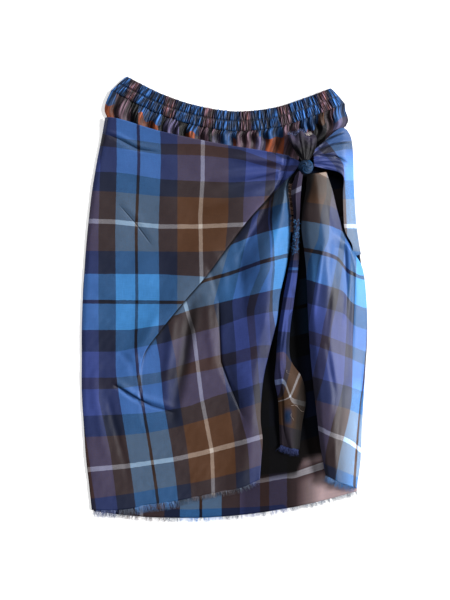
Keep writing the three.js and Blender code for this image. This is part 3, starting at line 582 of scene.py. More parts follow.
def on_board(x, y):
    """A place in millimetres, from a place on the charts' board."""
    return BOARD_CORNER[0] + BOARD_UNIT * x, BOARD_CORNER[1] - BOARD_UNIT * y


def to_board(x, y):
    """A place on the charts' board, from a place in millimetres."""
    return (x - BOARD_CORNER[0]) / BOARD_UNIT, (BOARD_CORNER[1] - y) / BOARD_UNIT


# ---- Curves and surfaces ----


def through(rows, t):
    """Catmull-Rom through equally spaced rows of numbers, at each t from 0 to 1."""
    rows = np.asarray(rows, float)
    before = np.vstack([2 * rows[0] - rows[1], rows, 2 * rows[-1] - rows[-2]])
    span = np.clip(np.asarray(t, float), 0, 1) * (len(rows) - 1)
    i = np.minimum(span.astype(int), len(rows) - 2)
    f = (span - i)[:, None]
    a, b, c, d = (before[i + k] for k in range(4))
    slope_in, slope_out = (c - a) / 2, (d - b) / 2
    bend = 3 * (c - b) - 2 * slope_in - slope_out
    twist = slope_in + slope_out - 2 * (c - b)
    return b + f * (slope_in + f * (bend + f * twist))


def along_curves(points, t):
    """Smooth curves through each row of points that overshoot none: each stretch has an equal share of t."""
    steps = np.diff(points, axis=1)
    lengths = np.linalg.norm(steps, axis=2)[..., None]
    slopes = steps / lengths
    left, right = slopes[:, :-1], slopes[:, 1:]
    near = 2 * lengths[:, 1:] + lengths[:, :-1]
    far = lengths[:, 1:] + 2 * lengths[:, :-1]
    same = left * right > 0
    safe_left, safe_right = np.where(same, left, 1), np.where(same, right, 1)
    inner = np.where(same, (near + far) / (near / safe_left + far / safe_right), 0)
    tangents = np.concatenate([slopes[:, :1], inner, slopes[:, -1:]], axis=1)
    last = points.shape[1] - 1
    span = np.clip(np.asarray(t, float), 0, 1) * last
    i = np.minimum(span.astype(int), last - 1)
    f = (span - i)[None, :, None]
    start, rise = points[:, i], points[:, i + 1] - points[:, i]
    slope_in = lengths[:, i] * tangents[:, i]
    slope_out = lengths[:, i] * tangents[:, i + 1]
    bend = 3 * rise - 2 * slope_in - slope_out
    twist = slope_in + slope_out - 2 * rise
    return start + f * (slope_in + f * (bend + f * twist))


def surface(rows, us, vs):
    """A grid of places over rows of points: vs runs down the rows and us along each."""
    rows = np.asarray(rows, float)
    flat = through(rows.reshape(len(rows), -1), vs)
    return along_curves(flat.reshape(len(flat), rows.shape[1], 3), us)


def evenly(count):
    """That many evenly spaced shares from 0 to 1."""
    return np.linspace(0, 1, count)


def sagging(left, right, sag, shares):
    """Places across and up along a line from left to right that sags in the middle."""
    x = left[0] + (right[0] - left[0]) * shares
    return x, left[1] + (right[1] - left[1]) * shares - 4 * shares * (1 - shares) * sag


def steps_between(counts):
    """Shares from 0 to 1 with that many steps between one node and the next."""
    shares = [0.0]
    for i, count in enumerate(counts):
        shares += [(i + k / count) / len(counts) for k in range(1, count + 1)]
    return np.array(shares)


def line_through(points, at):
    """A charted line, as its place across at each place along it, with its corners eased."""
    across, along = np.array(points, float).T
    ruler = np.arange(40.0, 560.0)
    values = np.interp(ruler, along, across)
    window = np.hanning(15)
    eased = np.convolve(np.pad(values, 6, mode="edge"), window[1:-1] / window.sum(), "valid")
    return np.interp(at, ruler, eased)


def charted(lines, across, along):
    """What a chart says at each place: the shares that its lines mark, and evenly between them."""
    marks = np.array([mark for mark, _ in lines])
    shape, across, along = across.shape, across.ravel(), along.ravel()
    places = np.array([line_through(points, along) for _, points in lines])
    k = np.clip((places <= across).sum(axis=0) - 1, 0, len(lines) - 2)
    columns = np.arange(len(across))
    start, end = places[k, columns], places[k + 1, columns]
    share = (across - start) / (end - start)
    return (marks[k] + share * (marks[k + 1] - marks[k])).reshape(shape)


def cloth_places(grid, warp, weft):
    """The cloth's own coordinates at each of a grid's places, in repeats of its check."""
    x, y = to_board(grid[..., 0], grid[..., 1])
    swapped = [(mark, [(down, right) for right, down in points]) for mark, points in weft]
    return np.stack([charted(warp, x, y), charted(swapped, y, x)], axis=-1)


def ramp(value, start, width):
    """0 up to the start and 1 from a width beyond it, which is below it where the width is negative."""
    return np.clip((value - start) / width, 0, 1)


def spot(x, y, middle, reach):
    """1 at a place on the board, and less the further it is beside the reach across and down."""
    return np.exp(-(((x - middle[0]) / reach[0]) ** 2) - ((y - middle[1]) / reach[1]) ** 2)


def waves(turns):
    """A cosine of whole turns."""
    return np.cos(2 * math.pi * turns)


def fold_rise(folds, grid):
    """How much a table's folds raise the cloth at each place of a grid, in millimetres."""
    rise = np.zeros(grid.shape[:2])
    x, y = grid[..., 0], grid[..., 1]
    for fold in folds:
        points = through([on_board(*place) for place in fold["run"]], evenly(40))
        lengths = np.concatenate([[0], np.cumsum(np.linalg.norm(np.diff(points, axis=0), axis=1))])
        nearest, share = np.full(x.shape, 1e9), np.zeros(x.shape)
        for (ax, ay), (bx, by), start, end in zip(points[:-1], points[1:], lengths[:-1], lengths[1:]):
            run = np.array([bx - ax, by - ay])
            k = np.clip(((x - ax) * run[0] + (y - ay) * run[1]) / (run @ run), 0, 1)
            away = np.hypot(x - ax - k * run[0], y - ay - k * run[1])
            closer = away < nearest
            nearest = np.where(closer, away, nearest)
            share = np.where(closer, (start + k * (end - start)) / lengths[-1], share)
        fade = np.sin(np.pi * np.clip(share, 0, 1) ** 0.75) ** 0.7
        rise += fold["rise"] * fade * np.exp(-((nearest / fold["width"]) ** 2))
    return rise


def ripple(grid, size, seed):
    """Slow, uneven waves over a grid, mostly from -1 to 1 and about `size` millimetres across."""
    rng = np.random.default_rng(seed)
    total = np.zeros(grid.shape[:2])
    for _ in range(9):
        turn, phase, scale = rng.uniform(0, math.pi), rng.uniform(0, 6.28), rng.uniform(0.6, 1.7)
        across = grid[..., 0] * math.cos(turn) + grid[..., 1] * math.sin(turn)
        total += np.sin(across * 6.28 * scale / size + phase + 1.5 * np.sin(across.mean() + phase))
    return total / 5


# ---- Meshes ----


def link(mesh, name, material):
    """A piece of the skirt, in the scene and on its one body."""
    obj = bpy.data.objects.new(name, mesh)
    bpy.context.scene.collection.objects.link(obj)
    mesh.materials.append(material)
    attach(obj, "root")
    return obj


def mesh_of(name, places, faces, tint, cloth=None):
    """A smooth mesh from places in millimetres, with its tint (painted light and shade, or a thread's own
    colour) and the cloth's own coordinates.
    """
    mesh = bpy.data.meshes.new(name)
    mesh.from_pydata((places * MM).tolist(), [], faces.tolist() if hasattr(faces, "tolist") else faces)
    mesh.update()
    corners = np.empty(len(mesh.loops), dtype=np.int32)
    mesh.loops.foreach_get("vertex_index", corners)
    if cloth is not None:
        mesh.uv_layers.new(name="cloth").data.foreach_set("uv", cloth[corners].astype(np.float32).ravel())
    colours = np.concatenate([tint, np.ones((len(tint), 1))], axis=1).astype(np.float32)
    mesh.color_attributes.new("tint", "FLOAT_COLOR", "POINT").data.foreach_set("color", colours.ravel())
    mesh.polygons.foreach_set("use_smooth", np.ones(len(mesh.polygons), dtype=bool))
    return mesh


def shell(grid, wall):
    """Places and faces of a closed thin wall whose upper face is the grid."""
    down, across = grid.shape[:2]
    normal = np.cross(np.gradient(grid, axis=1), -np.gradient(grid, axis=0))
    normal /= np.maximum(np.linalg.norm(normal, axis=2, keepdims=True), 1e-9)
    places = np.concatenate([grid.reshape(-1, 3), (grid - wall * normal).reshape(-1, 3)])
    ids = np.arange(down * across).reshape(down, across)
    a, b, c, d = ids[:-1, :-1], ids[1:, :-1], ids[1:, 1:], ids[:-1, 1:]
    n = down * across
    quads = [
        np.stack([a, b, c, d], -1).reshape(-1, 4),
        np.stack([a, d, c, b], -1).reshape(-1, 4) + n,
    ]
    for edge, flip in ((ids[:, 0], False), (ids[:, -1], True), (ids[0], True), (ids[-1], False)):
        one, two = edge[:-1], edge[1:]
        rim = np.stack([one, one + n, two + n, two], -1)
        quads.append(rim[:, ::-1] if flip else rim)
    return places, np.concatenate(quads)


def cloth_piece(name, node, grid, cloth, tint, material, wall=CLOTH_WALL):
    """A thin wall of cloth under a grid. Its lower face has the same check, under an even painted shade."""
    places, faces = shell(grid, wall)
    twice = np.concatenate([cloth.reshape(-1, 2)] * 2)
    upper = tint.reshape(-1, 3)
    # The lower face gets an even painted shade
    tints = np.concatenate([upper, np.full(upper.shape, UNDERSIDE_SHADE)])
    obj = link(mesh_of(name, places, faces, tints, twice), name, material)
    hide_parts(node)
    return obj


def threads(name, roots, tips, droops, tints, radius, node=None):
    """Loose threads as tapering, curved prisms of three sides, joined into one mesh."""
    rng = np.random.default_rng(len(roots))
    sides, rings = 3, 6
    count = len(roots)
    run = tips - roots
    length = np.linalg.norm(run, axis=1, keepdims=True)
    aside = np.cross(run, [0, 0, 1.0])
    aside /= np.maximum(np.linalg.norm(aside, axis=1, keepdims=True), 1e-9)
    up = np.cross(aside, run / length)
    curl = rng.normal(0, 0.1, (count, 2)) * length
    places = []
    for ring in range(rings):
        t = ring / (rings - 1)
        bow = curl[:, :1] * math.sin(math.pi * t)
        sway = curl[:, 1:] * 0.6 * math.sin(2 * math.pi * t)
        centre = roots + run * t + aside * bow + aside * sway
        centre[:, 2] -= droops * t * t
        centre[:, 2] = np.maximum(centre[:, 2], 0.25)
        size = radius * (1 - 0.72 * t)
        for side in range(sides):
            angle = 2 * math.pi * side / sides
            places.append(centre + size * (aside * math.cos(angle) + up * math.sin(angle)))
    places = np.stack(places, axis=1)
    faces = []
    for ring in range(rings - 1):
        for side in range(sides):
            a, b = ring * sides + side, ring * sides + (side + 1) % sides
            faces.append([a, b, b + sides, a + sides])
    base = np.arange(count)[:, None, None] * rings * sides
    quads = (np.array(faces)[None] + base).reshape(-1, 4)
    places = places.reshape(-1, 3)
    places[:, 2] = np.maximum(places[:, 2], 0.1)
    colours = np.repeat(tints, rings * sides, axis=0)
    obj = link(mesh_of(name, places, quads, colours), name, thread_material())
    if node:
        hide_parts(node)


# ---- Materials ----


def linear(colour):
    """A display colour as the linear one that a shader takes."""
    return tuple(((c + 0.055) / 1.055) ** 2.4 if c > 0.04045 else c / 12.92 for c in colour)


def display(colour):
    """A linear colour as the display one, in which threads are mixed as the eye does."""
    return tuple(1.055 * c ** (1 / 2.4) - 0.055 if c > 0.0031308 else c * 12.92 for c in colour)


class Nodes:
    """A short hand for building a material's nodes."""

    def __init__(self, name):
        old = bpy.data.materials.get(name)
        self.material = old or bpy.data.materials.new(name)
        self.material.use_nodes = True
        self.tree = self.material.node_tree
        self.tree.nodes.clear()

    def add(self, kind, inputs=(), **settings):
        node = self.tree.nodes.new(kind)
        for key, value in settings.items():
            setattr(node, key, value)
        for key, value in dict(inputs).items():
            socket = node.inputs[key]
            if isinstance(value, bpy.types.NodeSocket):
                self.tree.links.new(value, socket)
            else:
                socket.default_value = value
        return node

    def math(self, operation, a, b=0.0, clamp=False):
        return self.add("ShaderNodeMath", {0: a, 1: b}, operation=operation, use_clamp=clamp).outputs[0]

    def vector(self, operation, a, b, output=0):
        return self.add("ShaderNodeVectorMath", {0: a, 1: b}, operation=operation).outputs[output]

    def noise(self, place, scale, detail):
        return self.add("ShaderNodeTexNoise", {"Vector": place, "Scale": scale, "Detail": detail}).outputs[0]

    def scaled(self, place, x, y):
        return self.add("ShaderNodeMapping", {"Vector": place, "Scale": (x, y, 1.0)}).outputs[0]

    def grey(self, value):
        return self.add("ShaderNodeCombineColor", {0: value, 1: value, 2: value}).outputs[0]

    def bell(self, distance, width):
        """1 at no distance, and less the further it is beside the width."""
        share = self.math("DIVIDE", distance, width)
        return self.math("EXPONENT", self.math("MULTIPLY", self.math("MULTIPLY", share, share), -1.0))

    def mix(self, factor, a, b, blend="MIX"):
        inputs = {0: factor, 6: a, 7: b}
        return self.add("ShaderNodeMix", inputs, data_type="RGBA", blend_type=blend).outputs[2]

    def times(self, colour, value):
        """A colour made darker, or lighter, by a grey value."""
        return self.mix(1.0, colour, self.grey(value), "MULTIPLY")

    def fitted(self, value, factor, offset):
        """A value times a factor, plus an offset."""
        return self.math("ADD", self.math("MULTIPLY", value, factor), offset)

    def tint(self):
        """The tint that the mesh's points carry: painted light and shade on cloth, or a thread's own colour.
        """
        return self.add("ShaderNodeAttribute", attribute_name="tint").outputs["Color"]

    def finished(self, inputs):
        """The material, once its one shader has these inputs."""
        shader = self.add("ShaderNodeBsdfPrincipled", inputs)
        self.add("ShaderNodeOutputMaterial", {0: shader.outputs[0]})
        return self.material

    def stripes(self, share, stops):
        """Stripes of colour over shares from 0 to 1, from a list of (start, colour)."""
        node = self.add("ShaderNodeValToRGB", {0: share})
        node.color_ramp.interpolation = "CONSTANT"
        elements = node.color_ramp.elements
        while len(elements) > 1:
            elements.remove(elements[-1])
        elements[0].position, elements[0].color = stops[0][0], (*stops[0][1], 1)
        for start, colour in stops[1:]:
            elements.new(start).color = (*colour, 1)
        return node.outputs[0]


def sett_stops(colours):
    """Where each stripe of the check starts, with its colour."""
    start, stops = 0.0, []
    for stripe, share in SETT:
        stops.append((start, colours[stripe]))
        start += share
    return stops


def crease_depth(nodes, place, creases):
    """How deep the sharp creases press the cloth at a place, in millimetres."""
    total = 0.0
    for crease in creases:
        points = [Vector((*on_board(*at), 0)) for at in crease["run"]]
        nearest = None
        for start, end in zip(points[:-1], points[1:]):
            run = end - start
            offset = nodes.vector("SUBTRACT", place, start)
            reach = nodes.vector("DOT_PRODUCT", offset, run, 1)
            share = nodes.math("DIVIDE", reach, run.length_squared, clamp=True)
            along = nodes.add("ShaderNodeVectorMath", {0: run, "Scale": share}, operation="SCALE").outputs[0]
            away = nodes.vector("DISTANCE", offset, along, 1)
            nearest = away if nearest is None else nodes.math("MINIMUM", nearest, away)
        depth = nodes.bell(nearest, crease["width"])
        for end in (points[0], points[-1]):
            near_end = nodes.bell(nodes.vector("DISTANCE", place, end, 1), crease["fade"])
            depth = nodes.math("MULTIPLY", depth, nodes.math("SUBTRACT", 1.0, near_end))
        total = nodes.math("ADD", total, nodes.math("MULTIPLY", depth, crease["depth"]))
    return total


def check_cloth(name, settings, stripes_of, repeat, creases=(), roughness=BASE_ROUGHNESS, gloss=WRAP_GLOSS):
    """A woven check from the cloth's own coordinates. `stripes_of` gives its warp's and weft's colours."""
    nodes = Nodes(name)
    uv = nodes.add("ShaderNodeUVMap", uv_map="cloth").outputs[0]
    wander = nodes.math("SUBTRACT", nodes.noise(uv, 46.0, 3.0), 0.5)
    wander = nodes.math("MULTIPLY", wander, WANDER)
    split = nodes.add("ShaderNodeSeparateXYZ", {0: uv})
    u, v = nodes.math("ADD", split.outputs[0], wander), nodes.math("ADD", split.outputs[1], wander)
    warp, weft = stripes_of(nodes, u, v)

    pitch = settings.thread_pitch / MM
    wave_u = nodes.math("SINE", nodes.math("MULTIPLY", u, 2 * math.pi * repeat[0] / pitch))
    wave_v = nodes.math("SINE", nodes.math("MULTIPLY", v, 2 * math.pi * repeat[1] / pitch))
    weave = nodes.math("MULTIPLY", nodes.math("MULTIPLY", wave_u, wave_v), WEAVE_CONTRAST)
    colour = nodes.mix(nodes.math("ADD", weave, 0.5), warp, weft)

    slub_warp = nodes.noise(nodes.scaled(uv, *SLUB_SCALES), 1.0, 2.0)
    slub_weft = nodes.noise(nodes.scaled(uv, *reversed(SLUB_SCALES)), 1.0, 2.0)
    slubs = nodes.math("ADD", slub_warp, slub_weft)
    cloud = nodes.noise(uv, 9.0, 4.0)
    worn = nodes.math("MULTIPLY", nodes.fitted(slubs, 0.12, 0.88), nodes.fitted(cloud, 0.16, 0.92))
    colour = nodes.times(colour, worn)
    colour = nodes.add("ShaderNodeGamma", {0: colour, 1: EYE_GAMMA}).outputs[0]
    # The mesh's tint multiplies in the painted light and shade
    colour = nodes.mix(1.0, colour, nodes.tint(), "MULTIPLY")

    height = nodes.math("ADD", nodes.math("ABSOLUTE", wave_u), nodes.math("ABSOLUTE", wave_v))
    height = nodes.math("ADD", height, nodes.math("MULTIPLY", slubs, 0.6))
    bump = nodes.add("ShaderNodeBump", {"Height": height, "Strength": 0.22, "Distance": 0.0002}).outputs[0]
    if creases:
        place = nodes.add("ShaderNodeTexCoord").outputs["Object"]
        place = nodes.add("ShaderNodeMapping", {"Vector": place, "Scale": (1 / MM, 1 / MM, 0)}).outputs[0]
        depth = crease_depth(nodes, place, creases)
        press = nodes.math("MULTIPLY", depth, -1.0)
        bump = nodes.add("ShaderNodeBump", {"Height": press, "Distance": MM, "Normal": bump}).outputs[0]
        # Painted shade in the creases, darker the deeper they press
        crease_shade = nodes.math("SUBTRACT", 1.0, nodes.math("MULTIPLY", depth, 0.4), clamp=True)
        colour = nodes.times(colour, crease_shade)
    return nodes.finished(
        {
            "Base Color": colour,
            "Roughness": nodes.fitted(cloud, 0.12, roughness - 0.06),
            "Normal": bump,
            "IOR": 1.5,
            "Specular IOR Level": gloss,
            "Sheen Weight": settings.sheen,
            "Sheen Roughness": 0.35,
            "Sheen Tint": (0.75, 0.88, 1.0, 1.0),
        }
    )


def wrap_cloth(settings, part, creases=(), roughness=WRAP_ROUGHNESS, gloss=WRAP_GLOSS):
    """The large check, for one part of the wrap."""
    stops = sett_stops({stripe: display(getattr(settings, stripe)) for stripe in dict(SETT)})

    def stripes_of(nodes, u, v):
        return nodes.stripes(nodes.math("FRACT", u), stops), nodes.stripes(nodes.math("FRACT", v), stops)

    return check_cloth("wrap_check_" + part, settings, stripes_of, REPEAT, creases, roughness, gloss)


def casing_cloth(settings):
    """Blue cloth with mauve stripes that have rust and dark threads in them."""
    yarns = (settings.mauve, settings.base_blue, settings.navy, settings.orange)
    mauve, blue, dark, orange = (display(yarn) for yarn in yarns)
    rust = tuple(0.6 * a + 0.4 * b for a, b in zip(mauve, orange))
    stops = [(0, mauve), (0.035, rust), (0.06, mauve), (0.13, dark), (0.19, blue), (0.5, dark), (0.54, blue)]
    stops += [(0.82, dark), (0.87, mauve), (0.93, rust), (0.95, mauve)]

    def stripes_of(nodes, u, v):
        warp = nodes.stripes(nodes.math("FRACT", u), stops)
        return warp, warp

    return check_cloth("casing_check", settings, stripes_of, (SMALL_REPEAT, SMALL_REPEAT))


def yoke_cloth(settings):
    """The small check as it shows in two rows of gathers."""
    upper, lower = (
        [((start - YOKE_FROM) / YOKE_REACH, display(getattr(settings, colour))) for start, colour in row]
        for row in (YOKE_UPPER, YOKE_LOWER)
    )

    def stripes_of(nodes, u, v):
        below = nodes.math("GREATER_THAN", v, 0.5)
        patch = nodes.mix(below, nodes.stripes(u, upper), nodes.stripes(u, lower))
        return patch, patch

    return check_cloth("yoke_check", settings, stripes_of, (YOKE_REACH * BOARD_UNIT, SMALL_REPEAT))


def thread_material():
    """Matt loose threads, each in its own tint."""
    nodes = Nodes("loose_threads")
    place = nodes.add("ShaderNodeTexCoord").outputs["Object"]
    noise = nodes.noise(place, 900.0, 2.0)
    colour = nodes.times(nodes.tint(), nodes.fitted(noise, 0.5, 0.75))
    bump = nodes.add("ShaderNodeBump", {"Height": noise, "Strength": 0.3, "Distance": 0.0001}).outputs[0]
    sheen = {"Sheen Weight": 0.25, "Sheen Roughness": 0.5}
    return nodes.finished({"Base Color": colour, "Roughness": 0.75, "Normal": bump, **sheen})


# ---- Casing ----


def casing_place(u, v):
    """Places on the casing: u from the left fold to the right, v from the upper edge down."""
    u, v = np.broadcast_arrays(np.asarray(u, float), np.asarray(v, float))
    flat = u.ravel()
    step = 0.004
    run = through(CASING_EDGE, flat + step) - through(CASING_EDGE, flat - step)
    run /= np.linalg.norm(run, axis=1, keepdims=True)
    place = through(CASING_EDGE, flat)
    down = CASING_HEIGHT * v.ravel()
    flare = CASING_FLARE * v.ravel() ** 0.8 * (np.exp((flat - 1) / 0.05) - np.exp(-flat / 0.05))
    x = place[:, 0] + run[:, 1] * down + run[:, 0] * flare
    y = place[:, 1] - run[:, 0] * down + run[:, 1] * flare
    return x.reshape(u.shape), y.reshape(u.shape)


def gathers(u, v, count, seed):
    """Uneven ribs across a shirred strip: 0 in the valleys and 1 on the crests."""
    rng = np.random.default_rng(seed)
    phase = 0.0
    for k in (2.3, 5.1, 11.7, 23.9, 41.3):
        amount, start, slant = rng.uniform(0.35, 0.7), rng.random(), rng.uniform(-0.6, 0.6)
        phase = phase + amount * np.sin(2 * math.pi * (k * u + start) + slant * v)
    lean = 0.45 * np.sin(37 * u + seed) * (v - 0.5)
    wave = 0.5 + 0.5 * waves(count * u + 0.8 * phase + lean)
    fullness = 0.62 + 0.38 * np.sin(2 * math.pi * (count * 0.37 * u + 1.3 * v) + 2.5 * np.sin(71 * u))
    return wave * fullness


def casing_cloth_places(grid, v):
    """The small check's own coordinates: its stripes from the chart, and v down the cloth."""
    level = [(0, [(80, 80), (360, 80)]), (1, [(80, 140), (360, 140)])]
    places = cloth_places(grid, CASING_WARP, level)
    places[..., 1] = v
    return places


def yoke_cloth_places(grid, v):
    """The gathers' patches of check: how far across the board each place is, and v down the rows."""
    x, _ = to_board(grid[..., 0], grid[..., 1])
    return np.stack([(x - YOKE_FROM) / YOKE_REACH, v], -1)


def shades(light):
    """Grey tints, which carry painted light and shade."""
    return np.stack([light, light, light], -1)


def build_casing(settings):
    """The elastic casing: many ribs of cloth, held flat at its middle row and its lower seam."""
    count = settings.casing_gathers
    us, vs = evenly(8 * count + 1), evenly(25)
    u, v = np.meshgrid(us, vs)
    x, y = casing_place(u, v)
    fullness = np.interp(v, [0, 0.08, 0.42, 0.5, 0.58, 0.9, 1], [0.55, 1, 1, 0.15, 1, 1, 0.3])
    rounding = np.minimum(1, np.sin(math.pi * u) * 8) ** 0.6
    lower_row = ramp(v, 0.46, 0.08)
    wave = (1 - lower_row) * gathers(u, v, count, seed=3) + lower_row * gathers(u, v, count, seed=8)
    low = CASING_LOW + CASING_RISE * rounding
    z = low + CASING_RIBS * wave * fullness * rounding + 0.5 * fullness
    y = y + 0.9 * (wave - 0.5) * np.exp(-((v / 0.08) ** 2))
    grid = np.stack([x, y, z], -1)
    light = 0.08 + 1.6 * (wave * (0.35 + 0.65 * fullness)) ** 1.5
    light *= 0.82 + 0.3 * waves(2.3 * count * u + 0.7 * np.sin(29 * u) + 3 * v)
    light *= 1 + 0.7 * ramp(u, 0.7, 0.08)
    material = casing_cloth(settings)
    places = casing_cloth_places(grid, v)
    tint = shades(light)
    front = cloth_piece("casing_front", "waistband_front", grid, places, tint, material, 0.7)

    us, vs = evenly(6 * count + 1), evenly(19)
    u, v = np.meshgrid(us, vs)
    x, y = casing_place(u, v)
    wave = gathers(u, v, count, seed=12)
    grid = np.stack([x, y, 0.75 + 0.62 * wave], -1)
    places = casing_cloth_places(grid, v)
    # Painted shade in the valleys of the gathers, and painted light on their crests
    tint = shades(0.2 + wave)
    back = cloth_piece("casing_back", "waistband_back", grid, places, tint, material)


def build_stitches(settings):
    """The shirring's rows of elastic thread, as short stitches that sink between the gathers."""
    roots, tips = [], []
    count = settings.casing_gathers
    for v, height in ((0.5, 6.0), (0.985, 5.4)):
        for k in range(2, count - 2):
            u = (k + 0.2 * math.sin(3.1 * k)) / count
            (x0,), (y0,) = casing_place([u], [v])
            (x1,), (y1,) = casing_place([u + 0.55 / count], [v + 0.004 * math.sin(k)])
            z = height + 0.2 * math.sin(1.7 * k)
            roots.append((x0, y0, z))
            tips.append((x1, y1, z))
    roots, tips = np.array(roots), np.array(tips)
    tints = np.tile(linear(STITCH_COLOUR), (len(roots), 1))
    threads("shirring_thread", roots, tips, np.zeros(len(roots)), tints, STITCH_RADIUS)


# ---- Yoke ----


def build_yoke(settings):
    """The yoke: gathered to the casing, with two rows of puffs that run under the wrap."""
    count = settings.casing_gathers
    us = evenly(6 * count + 1)
    vs = np.concatenate([np.linspace(0, 0.6, 46), np.linspace(0.63, 1, 12)])
    u, v = np.meshgrid(us, vs)
    top_x, top_y = casing_place(us, np.full(us.shape, 1 - SEAM_LAP / CASING_HEIGHT))
    rows = [np.stack([top_x, top_y], -1).ravel()]
    share = (top_x - top_x[0]) / (top_x[-1] - top_x[0])
    for left, middle, right, *_ in YOKE_ROWS:
        sag = (left[1] + right[1]) / 2 - middle[1]
        rows.append(np.stack(sagging(left, right, sag, share), -1).ravel())
    flat = through(rows, vs).reshape(len(vs), len(us), 2)
    heights = through([(4.6, 0.6)] + [(z, puff) for *_, z, puff in YOKE_ROWS], vs)
    wander = 0.35 * np.sin(7 * u + 2) + 0.25 * np.sin(23 * u)
    wave = 0.5 - 0.5 * waves(YOKE_PUFFS * u + wander)
    side = np.minimum(1, 9 * np.sin(math.pi * u))
    z = 4.1 + (heights[:, :1] + heights[:, 1:] * (2 * wave - 0.8) - 4.1) * side
    fine = gathers(u, v, count, seed=21)
    folds = 0.5 + 0.5 * np.sin(2 * math.pi * 57 * u + 3 * np.sin(31 * u) + 4 * v + 2 * np.sin(113 * u))
    near = np.exp(-((v / 0.34) ** 2))
    low_folds = folds * np.exp(-(((v - 0.2) / 0.17) ** 2))
    z = z + side * (1.9 * fine * near + 1.6 * low_folds - 0.7)
    grid = np.stack([flat[..., 0], flat[..., 1], z], -1)
    row_end = np.interp(u, [0, 0.35, 0.7, 1], [0.235, 0.235, 0.4, 0.36])
    row_end += 0.06 * np.sin(2 * math.pi * YOKE_PUFFS * u + 1.3)
    row_end += 0.05 * np.sin(41 * u) + 0.03 * np.sin(137 * u)
    places = yoke_cloth_places(grid, 0.5 + v - row_end)
    places[..., 0] += 0.006 * np.sin(61 * u) * np.minimum(1, 5 * v)
    light = 0.26 + 0.72 * wave**1.4 * np.clip(v * 8, 0, 1) + 1.6 * (fine - 0.35) * near
    light *= 0.5 + 0.55 * folds
    light *= 1 - 0.75 * (1 - fine) ** 3 * np.exp(-((v / 0.5) ** 2))
    tint = shades(np.clip(light, 0.08, 1.5))
    material = yoke_cloth(settings)
    front = cloth_piece("yoke_cloth_front", "yoke_front", grid, places, tint, material)

    us = evenly(3 * count + 1)
    edge_x, edge_y = sagging(*BACK_ROWS[0], us)
    x, y = casing_place(us, np.full(us.shape, 1 - SEAM_LAP / CASING_HEIGHT))
    rows = [np.stack([x, y, np.full(us.shape, 1.0)], -1)]
    for inset, above, height in ((1, 8, 1.0), (5, 1.5, 2.65), (10, -34, 2.65)):
        rows.append(np.stack([edge_x + inset * (1 - 2 * us), edge_y + above, np.full(us.shape, height)], -1))
    vs = evenly(31)
    grid = through([row.ravel() for row in rows], vs).reshape(len(vs), len(us), 3)
    grid[..., 2] = np.clip(grid[..., 2], 0.75, 2.65)
    u, v = np.meshgrid(us, vs)
    wave = gathers(u, v, count // 2, seed=31)
    grid[..., 2] += 0.25 * wave * np.exp(-((v / 0.5) ** 2))
    places = yoke_cloth_places(grid, 0.3 + 0.7 * v)
    # Painted shade in the valleys of the gathers, and painted light on their crests
    tint = shades(0.25 + 0.9 * wave)
    back = cloth_piece("yoke_cloth_back", "yoke_back", grid, places, tint, material)


# ---- Wrap ----


def back_grid(us, vs):
    """Places on the wrap's stretch over the back."""
    rows = []
    even = evenly(9)
    for row in BACK_ROWS:
        rows.append(np.stack([*sagging(*row, even), np.full(even.shape, 1.2)], -1))
    return surface(rows, us, vs)


def build_wrap_back(settings):
    """The back's cloth, with painted shade under the front's hem and painted light at its right corner."""
    grid = back_grid(*map(evenly, BACK_PLACES))
    grid[..., 2] += 0.22 * ripple(grid, size=70, seed=4)
    places = cloth_places(grid, BACK_WARP, BACK_WEFT)
    x, y = to_board(grid[..., 0], grid[..., 1])
    # Painted shade under the front's hem, and painted light towards the right corner, which spares the pale
    # line
    deep = np.clip((np.interp(x, *BACK_SHADE_EDGE) - y) / 6 + 0.5, 0, 1)
    gain = np.interp(x, *BACK_LIGHT) - 1
    pale_line = np.exp(-(((places[..., 1] % 1 - WHITE_LINE) / 0.02) ** 4))
    tint = shades((1 - 0.97 * deep) * (1 + gain * (1 - 0.85 * pale_line * (gain > 0))))
    # A greener, bluer hue where the light is painted
    painted_light_share = np.clip(gain / 4, 0, 1) * (1 - pale_line)
    tint[..., 1] *= 1 + 0.18 * painted_light_share
    tint[..., 2] *= 1 + 0.12 * painted_light_share
    material = wrap_cloth(settings, "back", roughness=0.7, gloss=0.1)
    obj = cloth_piece("wrap_cloth_back", "wrap_back", grid, places, tint, material, wall=0.55)


def front_row(left, body, bow, pleat, hidden, lift, valley, ridge, edge):
    """A row's nodes from the left fold to the right edge, with the pleat's stations between."""
    length = math.hypot(pleat[0] - left[0], pleat[1] - left[1])
    run = ((pleat[0] - left[0]) / length, (pleat[1] - left[1]) / length)
    low = min(body, valley[2])
    folded = min(1, hidden / FOLDED_FROM)

    def body_at(share, z):
        return (*sagging(left, pleat, bow, share), z)

    stations = []
    for flat, near, deep, height in PLEAT_STATIONS:
        shift = flat + (near + deep * hidden - flat) * folded
        stations.append((pleat[0] + run[0] * shift, pleat[1] + run[1] * shift, low + height * lift))
    return [
        (left[0], left[1], 2.6),
        (left[0] + 7, left[1] - 0.2, body - 0.4),
        body_at(0.3, body),
        body_at(0.62, body + 0.25 * (low + lift - body)),
        *stations,
        valley,
        ridge,
        edge,
    ]


def front_grid(us, vs):
    """Places on the wrap's front, with its small folds where they show."""
    grid = surface([front_row(*row) for row in FRONT_ROWS], us, vs)
    node = us[None, :] * len(FRONT_STEPS)
    shown = 1 - np.clip(1 - np.abs(node - 8) / 2.4, 0, 1)
    edges = np.clip(np.minimum(vs[:, None] * 12, 1), 0, 1)
    grid[..., 2] += fold_rise(FRONT_FOLDS, grid) * shown
    uneven = 0.35 * ripple(grid, size=60, seed=7) + 0.16 * ripple(grid, size=19, seed=9)
    grid[..., 2] += uneven * shown * edges
    return grid


